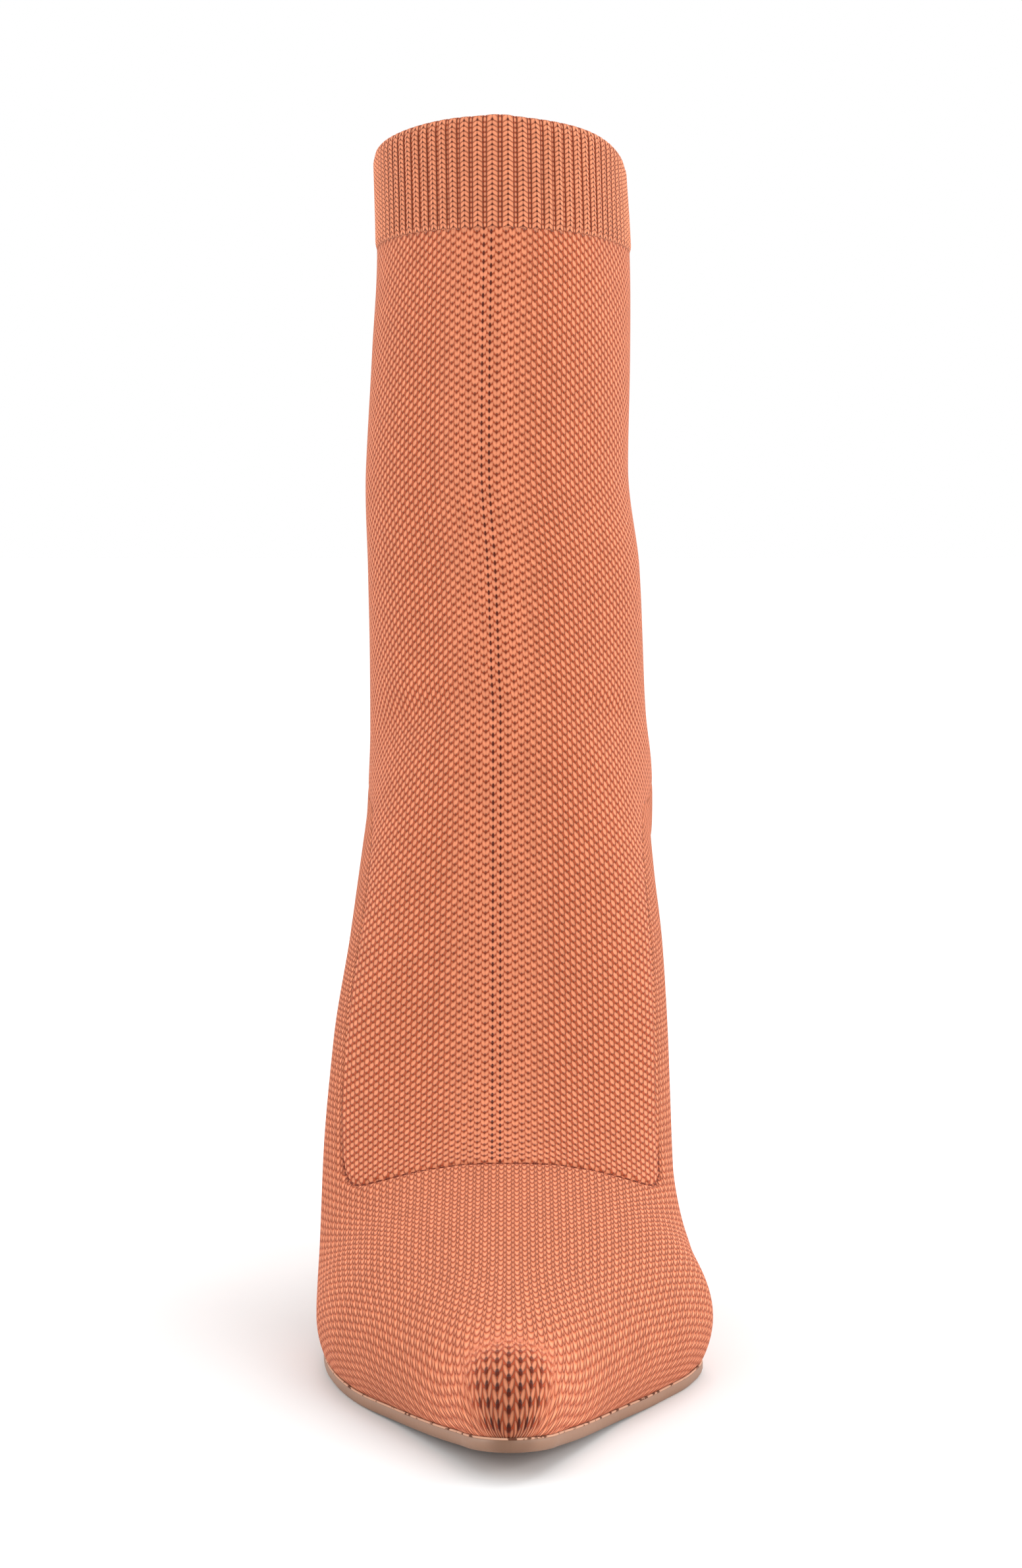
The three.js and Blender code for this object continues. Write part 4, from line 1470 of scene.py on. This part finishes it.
@dataclass
class LegKnit(KnitWall):
    """The leg with its tongue-shaped front panel, up to the cuff."""

    spacing: float = 1.25
    columns: int = 191
    side_wale: float = 1.27
    front_wale: float = 1.75
    front_reach: float = 6.0  # how far the wide wales reach from the front
    front_place: float = 2.85  # distance of their middle from the ridge, towards the little-toe side
    course: float = 1.95
    seam_start: float = 0.3  # degrees of the first mesh row at the throat
    fall: float = 0.1  # courses that the knit falls for each wale from the front centre
    throat_fall: float = 0.12  # how much more it falls at the instep
    instep: Span = Span(7, 12.5)  # sections over which that ends
    turn: float = 4.0  # wales over which the fall sets in
    reach: float = 26.0  # wales from the front centre at which it has ended
    table_rows: int = 400
    table_columns: int = 73

    def knit_map(self, number: np.ndarray, angle: np.ndarray) -> np.ndarray:
        """Give wale and course: wales run down the leg, courses fall away from the front centre.

        Args:
            number: Section numbers, as a grid.
            angle: Angles, as a grid.

        Returns:
            Wale and course numbers.
        """
        rows = number[:, 0]
        girth = self.last.girth(rows, angle) + self.front_place
        widened = self.front_reach * np.tanh(girth / self.front_reach)
        wale = (girth - widened) / self.side_wale + widened / self.front_wale
        away = np.sqrt(wale**2 + self.turn**2) - self.turn
        away = self.reach * np.tanh(away / self.reach)
        fall = self.fall + self.throat_fall * (1 - smooth_step(rows, self.instep))
        course = self.height(rows, angle) / self.course + fall[:, None] * away
        return np.stack([wale - HALF, course], axis=-1)

    def height(self, rows: np.ndarray, angle: np.ndarray) -> np.ndarray:
        """Give the distance up the leg, measured along each angle to the same place below the cuff.

        Args:
            rows: Section numbers, one for each row.
            angle: Angles, a row of them for each number.

        Returns:
            Distances, which rise towards the cuff.
        """
        fine = np.linspace(rows[0], rows[-1], self.table_rows)
        sides = np.linspace(-180, 180, self.table_columns)
        table = travelled(self.last.surface(fine[:, None], sides[None]))
        table = table - table[-1]
        across = np.array([[np.interp(n, fine, line) for line in table.T] for n in rows])
        return np.array([np.interp(a, sides, row) for a, row in zip(angle, across)])

    def build(self) -> None:
        """Build the leg."""
        numbers, angles = self.last.seam(self.spacing)
        angles = np.maximum(angles, self.seam_start)
        tube = self.last.numbers(SEAM_TOP, self.last.cuff_start(), self.spacing)[1:]
        rows = np.concatenate([numbers, tube])
        half_turn = np.concatenate([angles, np.full(len(tube), 180.0)])
        angle = half_turn[:, None] * np.linspace(-1, 1, self.columns)
        number = np.broadcast_to(rows[:, None], angle.shape)
        knit = self.knit_map(number, angle)
        closed = len(numbers) - 1
        skin = Skin()
        out, into = (skin.add(points) for points in self.faces(number, angle))
        for grid in (out, into):
            grid[closed:, -1] = grid[closed:, 0]
        skin.patch(out, knit, Cell(0.0, 0.0, 0.49, 0.93))
        skin.patch(into[::-1], knit[::-1], Cell(0.5, 0.0, 0.99, 0.93))
        edge = slice(0, closed + 1)
        skin.close(
            (
                (into[0], out[0], knit[0]),
                (out[-1], into[-1], knit[-1]),
                (out[edge, 0], into[edge, 0], knit[edge, 0]),
                (into[edge, -1], out[edge, -1], knit[edge, -1]),
            )
        )
        finish = KnitFinish("leg knit", Stitch.LEG, 1.07)
        dress(skin.make("leg_knit", self.last), finish.material(), "knit", "shaft")


class Sag(NamedTuple):
    """A place where the collar's top line hangs lower."""

    angle: float
    spread: float
    depth: float


@dataclass
class CuffKnit(KnitWall):
    """The ribbed cuff, whose ribs and chevrons stand up in the mesh."""

    rib: float = 2.7
    front_rib: float = 3.6
    front_reach: float = 9.0
    course: float = 1.17
    row: float = 0.34
    step: float = -0.3  # how the grooves lie below the leg's face
    step_height: float = 2.0
    rib_height: float = 0.5
    rib_side: Span = Span(0.3, 0.48)
    rib_round: float = 0.5
    bead_height: float = 0.2
    bead_length: float = 0.56
    inner_height: float = 0.3
    welt: float = 1.6
    welt_share: float = 0.5  # of the ribs' height that is left at the rim
    rim_steps: int = 5
    rim_courses: float = 2.4
    fine_steps: int = 1441
    sag_start: float = 0.3  # share of the cuff's height
    sags: tuple[Sag, ...] = (Sag(-84.0, 20.0, 1.2), Sag(-6.0, 34.0, 0.6), Sag(52.0, 26.0, 0.6))

    def profile(self, wale: np.ndarray, course: np.ndarray) -> np.ndarray:
        """Give the ribs' relief.

        Args:
            wale: Rib numbers.
            course: Course numbers.

        Returns:
            Height above the grooves.
        """
        across = np.abs(wale - np.round(wale))
        phase = course + across * CuffRib.slant
        bead = np.sqrt(np.maximum(0, 1 - ((phase - np.round(phase)) / self.bead_length) ** 2))
        raised = 1 - smooth_step(across, self.rib_side)
        crown = 1 - self.rib_round * (across / HALF) ** 2
        return raised * (self.rib_height * crown + self.bead_height * bead)

    def ribs(self, middle: float) -> tuple[np.ndarray, np.ndarray]:
        """Place the ribs round the cuff, wider in front and a whole number of them on each side.

        Args:
            middle: Section number at half the cuff's height.

        Returns:
            The angle of each mesh column and its rib number.
        """
        fine = np.linspace(-180, 180, self.fine_steps)
        length = travelled(self.last.surface(np.array([middle]), fine))
        length = length - np.interp(0, fine, length)
        pitch = mix(self.rib, self.front_rib, bell(length, self.front_reach))
        counts = np.diff(length) * (1 / pitch[1:] + 1 / pitch[:-1]) / 2
        ribs = np.concatenate([[0], np.cumsum(counts)])
        ribs = ribs - np.interp(0, fine, ribs)
        left, right = round(-ribs[0]), round(ribs[-1])
        ribs = np.where(ribs < 0, ribs * left / -ribs[0], ribs * right / ribs[-1])
        places = np.linspace(-left, right, (left + right) * CuffRib.columns + 1)
        return np.interp(places, ribs, fine), places

    def build(self) -> None:
        """Build the cuff."""
        start = self.last.cuff_start()
        rows = self.last.numbers(start, COLLAR, self.row)
        angle, places = self.ribs((start + COLLAR) / 2)
        down = travelled(self.last.surface(rows, 0.0))
        number, angle = np.broadcast_arrays(rows[:, None], angle)
        wale, course = np.broadcast_arrays(0.5 - places, (down / self.course)[:, None])
        knit = np.stack([wale, course], axis=-1)
        plain = self.last.surface(number, angle)
        inner = self.last.surface(number, angle, self.last.knit_wall)
        outwards = unit(plain - inner)
        rim = smooth_step(down[-1] - down, Span(0.0, self.welt))[:, None]
        joined = smooth_step(down, Span(0.0, self.step_height))[:, None]
        ribs = self.profile(wale, course)
        stand = (self.step + ribs * mix(self.welt_share, 1, rim)) * joined + self.folds(number, angle)
        outer = plain + outwards * stand[..., None]
        inside = inner - outwards * (self.inner_height * (1 - ribs))[..., None]
        droop = sum(sag.depth * bell(angle - sag.angle, sag.spread) for sag in self.sags)
        droop = droop * smooth_step(down, Span(down[-1] * self.sag_start, down[-1]))[:, None]
        outer[..., 2] -= droop
        inside[..., 2] -= droop
        skin = Skin()
        turns = np.linspace(0, math.pi, self.rim_steps + 2)[1:-1]
        centre, half = (outer[-1] + inside[-1]) / 2, (outer[-1] - inside[-1]) / 2
        upwards = UP * np.linalg.norm(half, axis=-1, keepdims=True)
        over = np.stack([centre + half * math.cos(turn) + upwards * math.sin(turn) for turn in turns])
        out, into, top = skin.add(outer), skin.add(inside), skin.add(over)
        for grid in (out, into, top):
            grid[:, -1] = grid[:, 0]
        skin.patch(out, knit, Cell(0.0, 0.0, 1.0, 0.45))
        skin.patch(into[::-1], knit[::-1], Cell(0.0, 0.46, 1.0, 0.9))
        bend = np.concatenate([out[-1:], top, into[-1:]])
        bend_course = course[-1, 0] + np.linspace(0, self.rim_courses, len(bend))[:, None]
        bend_knit = np.stack(np.broadcast_arrays(wale[0], bend_course), axis=-1)
        skin.patch(bend, bend_knit, Cell(0.0, 0.905, 1.0, 0.935))
        skin.close(((into[0], out[0], knit[0]),))
        finish = KnitFinish("cuff knit", Stitch.CUFF, 1.12)
        dress(skin.make("cuff_knit", self.last), finish.material(), "knit", "shaft")


@dataclass
class Cord:
    """A thin round line of thread or glue, laid along a closed path."""

    last: Last
    sides: int = 10

    @staticmethod
    def ahead(centre: np.ndarray) -> np.ndarray:
        """Give the direction of a closed path at each of its points."""
        return unit(np.roll(centre, -1, axis=0) - np.roll(centre, 1, axis=0))

    def lay(self, name: str, centre: np.ndarray, out: np.ndarray, radius: float) -> bpy.types.Object:
        """Build the line.

        Args:
            name: The object's name.
            centre: The path that it follows, without repeating its first point.
            out: Directions away from the boot along the path.
            radius: The line's radius.

        Returns:
            The mesh object.
        """
        across = unit(np.cross(self.ahead(centre), out))
        turns = np.linspace(0, 2 * math.pi, self.sides + 1)[:-1]
        ring = [centre + radius * (out * math.cos(t) + across * math.sin(t)) for t in turns]
        skin = Skin()
        grid = skin.add(np.stack(ring, axis=1))
        grid = np.concatenate([grid, grid[:1]])
        grid = np.concatenate([grid, grid[:, :1]], axis=1)
        length = travelled(np.concatenate([centre, centre[:1]]))[:, None]
        turn = np.linspace(0, 1, self.sides + 1)[None]
        skin.patch(grid, np.stack(np.broadcast_arrays(turn, length), axis=-1), Cell(0.0, 0.0, 1.0, 1.0))
        return skin.make(name, self.last)


@dataclass
class SeamThread(Cord):
    """The thread that lies sunken in the seam between upper and leg, dark with painted shade."""

    radius: float = 0.26
    sunk: float = 0.6
    side_sunk: float = 1.5
    side_start: Span = Span(6.6, 7.1)
    spacing: float = 0.9

    def build(self) -> None:
        """Build the thread as one closed loop."""
        numbers, angles = self.last.seam(self.spacing)
        number = np.concatenate([numbers, numbers[-2:0:-1]])
        angle = np.concatenate([angles, -angles[-2:0:-1]])
        out = self.last.outwards(number, angle)
        sunk = mix(self.sunk, self.side_sunk, smooth_step(number, self.side_start))
        centre = self.last.surface(number, angle) - out * sunk[:, None]
        dress(self.lay("seam_thread", centre, out, self.radius), ThreadFinish().material(), "knit")


@dataclass
class FeatherLine(Cord):
    """The thin pale line of glue and fibres where the knit meets the sole."""

    radius: float = 0.24
    out_by: float = 0.1
    lift: float = 0.12
    stations: int = 260

    def build(self) -> None:
        """Build the line round the whole sole."""
        turn = np.linspace(0, math.pi, self.stations)
        length = self.last.foot_length
        place = self.last.between(length * (1 - np.cos(turn)) / 2, -self.out_by, length + self.out_by)
        medial, lateral = self.last.outline(place, -self.out_by)
        height = self.last.sole_top(place) + self.lift
        there = np.stack([medial, place, height], axis=-1)
        back = np.stack([-lateral, place, height], axis=-1)
        centre = np.concatenate([there, back[-2:0:-1]])
        out = unit(np.cross(self.ahead(centre), UP))
        dress(self.lay("feather_line", centre, out, self.radius), FibreFinish().material(), "sole")


@dataclass
class SolePiece:
    """A sole-shaped body made of levels between a toe end and a heel end."""

    last: Last
    stations: int = 220
    columns: int = 33
    blunt: float = 0.02  # keeps the ends from shrinking to one point

    def level(self, start: float, end: float, inset: float, drop: float, crown: float = 0.0) -> np.ndarray:
        """Give one level of the body.

        Args:
            start: Its toe end.
            end: Its heel end.
            inset: How far its outline lies inside the feather line.
            drop: How far it lies below the sole's top face.
            crown: How much its middle sinks.

        Returns:
            A grid of points, [station][column].
        """
        turn = np.linspace(self.blunt, math.pi - self.blunt, self.stations)
        place = self.last.between(self.last.foot_length * (1 - np.cos(turn)) / 2, start, end)
        medial, lateral = self.last.outline(place, inset)
        share = np.linspace(-1, 1, self.columns)[None]
        width = np.where(share < 0, lateral[:, None], medial[:, None])
        height = self.last.sole_top(place)[:, None] - drop - crown * (1 - share**2)
        return np.stack(np.broadcast_arrays(share * width, place[:, None], height), axis=-1)

    def body(self, name: str, levels: Sequence[np.ndarray]) -> bpy.types.Object:
        """Join levels into a closed body.

        Args:
            name: The object's name.
            levels: From the top face to the bottom one.

        Returns:
            The mesh object.
        """
        skin = Skin()
        top, bottom = skin.add(levels[0]), skin.add(levels[-1])
        middle = [self.rim(skin.add(level)) for level in levels[1:-1]]
        wall = np.stack([self.rim(bottom), *middle[::-1], self.rim(top)])
        for place, grid in enumerate((top, bottom[::-1], wall)):
            left = 0.33 * place
            skin.patch(grid, np.zeros(grid.shape + (2,)), Cell(left, 0.0, left + 0.32, 1.0))
        return skin.make(name, self.last)

    @staticmethod
    def rim(grid: np.ndarray) -> np.ndarray:
        """Give the closed border of a grid of vertices."""
        border = [grid[0, ::-1], grid[1:-1, 0], grid[-1], grid[-2:0:-1, -1], grid[0, -1:]]
        return np.concatenate(border)


@dataclass
class Outsole(SolePiece):
    """The thin outsole with its dressed, bevelled edge."""

    edge: float = 0.4
    bevel: float = 0.7
    upright: float = 1.6
    soft: float = 0.25
    turned: float = 0.2  # how the bevel turns under at the tread
    bevel_start: float = 0.3

    def build(self) -> None:
        """Build the outsole."""
        length, thickness = self.last.foot_length, self.last.outsole_thickness
        rows = (
            (self.edge - self.soft, 0.0),
            (self.edge - self.soft / 3, self.soft / 3),
            (self.edge, self.soft),
            (self.edge, self.upright - self.soft),
            (self.edge - self.bevel * 0.25, self.upright + self.bevel_start),
            (self.edge - self.bevel * 0.75, thickness - self.turned),
            (self.edge - self.bevel - self.turned, thickness),
        )
        levels = [self.level(-out, length + out, -out, drop) for out, drop in rows]
        dress(self.body("outsole_leather", levels), SoleFinish().material(), "sole", "outsole")


@dataclass
class Sock(SolePiece):
    """The insole's sock lining, slightly dished under the foot."""

    clearance: float = 3.1
    toe_setback: float = 7.0
    lift: float = 0.3
    thickness: float = 3.0
    dish: float = 0.5
    soft: float = 0.6
    shoulder_in: float = 0.15
    shoulder_down: float = 0.25

    def build(self) -> None:
        """Build the sock lining."""
        end = self.last.foot_length - self.clearance
        top = -self.lift - self.thickness
        rows = (
            (self.soft, top, self.dish),
            (self.shoulder_in, top + self.shoulder_down, 0.0),
            (0.0, top + self.soft, 0.0),
            (0.0, -self.lift, 0.0),
        )
        levels = [
            self.level(self.toe_setback + inset, end - inset, self.clearance + inset, drop, crown)
            for inset, drop, crown in rows
        ]
        dress(self.body("insole_sock", levels), LiningFinish().material(), "insole", "insole")


@dataclass
class HeelBlock:
    """The slim heel under its knitted cover, and the top piece that it stands on."""

    last: Last
    breast: float = 48.0
    seat_inset: float = 0.6
    tip_depth: float = 12.0
    tip_width: float = 12.5
    tip_setback: float = 7.5
    tip_round: float = 0.6
    waist_power: float = 3.2
    top_piece: float = 5.5
    top_edge: float = 0.3
    soft: float = 0.15
    lip: float = 0.5
    lip_soft: float = 0.12
    gap: float = 0.05
    levels: int = 90
    stations: int = 48
    columns: int = 17
    wale: float = 1.3
    course: float = 1.2

    def tip(self, share: np.ndarray, edge: float = 0.0) -> tuple[np.ndarray, np.ndarray]:
        """Give the tip's outline.

        Args:
            share: Places from the breast (0) to the back (1).
            edge: How far it is grown.

        Returns:
            Places along the foot and half-widths.
        """
        back = self.last.foot_length - self.tip_setback + edge
        depth = self.tip_depth + 2 * edge
        half = (self.tip_width / 2 + edge) * round_end(1 - share, self.tip_round)
        return back - depth * (1 - share), half

    def shares(self) -> np.ndarray:
        """Give stations from breast to back, closer together at the round back."""
        return np.sin(np.linspace(0, math.pi / 2, self.stations))

    def ring(self, line: np.ndarray) -> np.ndarray:
        """Give a closed ring round the heel at one level, from the breast's big-toe corner.

        Args:
            line: Places along the foot, half-widths on the big-toe side and on the little-toe side,
                and heights, from the breast to the back.

        Returns:
            The ring's points, whose last repeats the first.
        """
        place, medial, lateral, height = line
        share = np.linspace(-1, 1, self.columns)[1:-1]
        breast_x = np.where(share < 0, lateral[0], medial[0]) * share
        breast = np.stack(np.broadcast_arrays(breast_x, place[0], height[0]), -1)
        right = np.stack([medial, place, height], -1)
        left = np.stack([-lateral, place, height], -1)
        return np.concatenate([right, left[::-1][1:], breast, right[:1]])

    def cover(self) -> None:
        """Build the covered heel."""
        share = self.shares()
        last = self.last
        seat_place = last.foot_length - self.seat_inset - (self.breast - self.seat_inset) * (1 - share)
        medial, lateral = last.outline(seat_place, self.seat_inset)
        seat_height = last.sole_top(seat_place) - last.outsole_thickness - self.gap
        place, half = self.tip(share)
        rings = []
        for fall in np.linspace(0, 1, self.levels):
            narrowed = 1 - (1 - fall) ** self.waist_power
            outline = mix(np.stack([seat_place, medial, lateral]), np.stack([place, half, half]), narrowed)
            height = mix(seat_height, self.top_piece + self.gap, fall)
            rings.append(self.ring(np.stack([*outline, height])))
        dress(self.closed("heel_cover", rings), HeelFinish().material(), "heel_cover", "heel")

    def sole(self) -> None:
        """Build the top piece with its softened lower edge."""
        rows = (
            (self.top_edge - self.soft, self.top_piece),
            (self.top_edge, self.top_piece - self.soft),
            (self.top_edge, self.lip),
            (self.top_edge - self.soft, self.lip_soft),
            (self.top_edge - self.lip, 0.0),
        )
        rings = []
        for edge, height in rows:
            place, half = self.tip(self.shares(), edge)
            rings.append(self.ring(np.stack([place, half, half, np.full_like(place, height)])))
        dress(self.closed("top_piece_rubber", rings), RubberFinish().material(), "top_piece", "top_piece")

    def closed(self, name: str, rings: Sequence[np.ndarray]) -> bpy.types.Object:
        """Close a stack of rings at both ends.

        Args:
            name: The object's name.
            rings: The rings, from top to bottom.

        Returns:
            The mesh object.
        """
        rings = np.stack(rings)
        skin = Skin()
        grid = skin.add(rings)
        grid[:, -1] = grid[:, 0]
        round_it = travelled(np.swapaxes(rings, 0, 1)).T
        back = round_it[:, self.stations - 1 : self.stations]
        down = travelled(rings.mean(axis=1))[:, None]
        knit = np.stack(np.broadcast_arrays((round_it - back) / self.wale, down / self.course), -1)
        skin.patch(grid[::-1], knit[::-1], Cell(0.0, 0.0, 0.98, 0.7))
        for place, (ring, points) in enumerate(((grid[0], rings[0]), (grid[-1][::-1], rings[-1]))):
            centre = skin.add(points[:-1].mean(axis=0)[None])
            cap = np.stack([ring, np.repeat(centre, len(ring))])
            left = 0.5 * place
            skin.patch(cap, np.zeros(cap.shape + (2,)), Cell(left, 0.72, left + 0.48, 1.0))
        return skin.make(name, self.last)


class Lamp(NamedTuple):
    """A square soft light that looks at the boot."""

    name: str
    place: Triple
    size: float
    power: float  # watts


@dataclass(frozen=True)
class Studio:
    """The camera at the photo's place, a pale floor and soft light. Lengths are in metres."""

    distance: float = 0.7  # in front of the toe tip
    height: float = 0.1975
    pitch: float = 5.12  # degrees down
    focal_pixels: float = 5657.0
    frame_height: int = 2380
    frame_centre: int = 776
    boot_column: int = 773
    ball_distance: float = 0.08  # of the ball behind the toe tip
    sensor: float = 36.0
    clip_start: float = 0.05
    floor_size: float = 12.0
    floor_tones: tuple[float, float] = (0.77, 0.78)
    floor_grain: Grain = Grain(60.0, 2.0)
    sky: float = 1.0
    sun: float = 1.3
    sun_spread: float = 55.0  # degrees, so that its shadows are soft
    sun_tilt: Triple = (-28.0, 12.0, 0.0)
    aim: float = 0.13  # height that the lamps look at
    lamps: tuple[Lamp, ...] = (
        Lamp("key", (1.0, -1.2, 0.6), 0.8, 7.5),
        Lamp("right", (1.6, 0.1, 0.5), 1.0, 10.0),
        Lamp("left", (-1.6, 0.1, 0.4), 1.0, 12.5),
    )

    def camera(self, last: Last) -> None:
        """Set up the camera."""
        data = bpy.data.cameras.new("camera")
        data.sensor_fit = "VERTICAL"
        data.sensor_height = self.sensor
        data.lens = self.focal_pixels * self.sensor / self.frame_height
        data.clip_start = self.clip_start
        x, y, _ = last.origin()
        columns = self.frame_centre - self.boot_column
        aside = columns * (self.distance + self.ball_distance) / self.focal_pixels
        camera = placed("camera", data)
        camera.location = (x + aside, y - self.distance, self.height)
        camera.rotation_euler = (math.radians(90 - self.pitch), 0.0, 0.0)
        bpy.context.scene.camera = camera

    def floor(self) -> None:
        """Lay the floor."""
        half = self.floor_size / 2
        mesh = bpy.data.meshes.new("floor")
        corners = [(x * half, y * half, 0.0) for x, y in ((-1, -1), (1, -1), (1, 1), (-1, 1))]
        mesh.from_pydata(corners, [], [(0, 1, 2, 3)])
        shader = Shader("floor paper")
        dark, pale = ((tone,) * 3 for tone in self.floor_tones)
        colour = shader.blend(dark, pale, shader.noise(shader.place(), self.floor_grain))
        mesh.materials.append(shader.finish(colour, 0.95, {GLOSS: 0.05}))
        placed("floor", mesh)

    def lights(self) -> None:
        """Set up the soft studio light."""
        world = bpy.data.worlds.new("studio")
        world.use_nodes = True
        background = world.node_tree.nodes["Background"]
        background.inputs["Color"].default_value = (1.0, 1.0, 1.0, 1.0)
        background.inputs["Strength"].default_value = self.sky
        bpy.context.scene.world = world
        data = bpy.data.lights.new("overhead", "SUN")
        data.energy = self.sun
        data.angle = math.radians(self.sun_spread)
        placed("overhead", data).rotation_euler = tuple(math.radians(turn) for turn in self.sun_tilt)
        for lamp in self.lamps:
            data = bpy.data.lights.new(lamp.name, "AREA")
            data.shape = "SQUARE"
            data.size = lamp.size
            data.energy = lamp.power
            hung = placed(lamp.name, data)
            hung.location = lamp.place
            x, y, z = lamp.place
            hung.rotation_euler = (math.atan2(math.hypot(x, y), z - self.aim), 0.0, math.atan2(x, -y))

    def build(self, last: Last) -> None:
        """Set up the whole studio."""
        self.camera(last)
        self.floor()
        self.lights()
        bpy.context.scene.view_settings.view_transform = "Standard"


def main() -> None:
    """Build the studio and the boot."""
    logging.basicConfig(level=logging.INFO, format="%(name)s: %(message)s")
    last = Last()
    Studio().build(last)
    for kind in (UpperKnit, LegKnit, CuffKnit, SeamThread, FeatherLine, Outsole, Sock):
        kind(last).build()
    heel = HeelBlock(last)
    heel.cover()
    heel.sole()


if __name__ == "__main__":
    main()
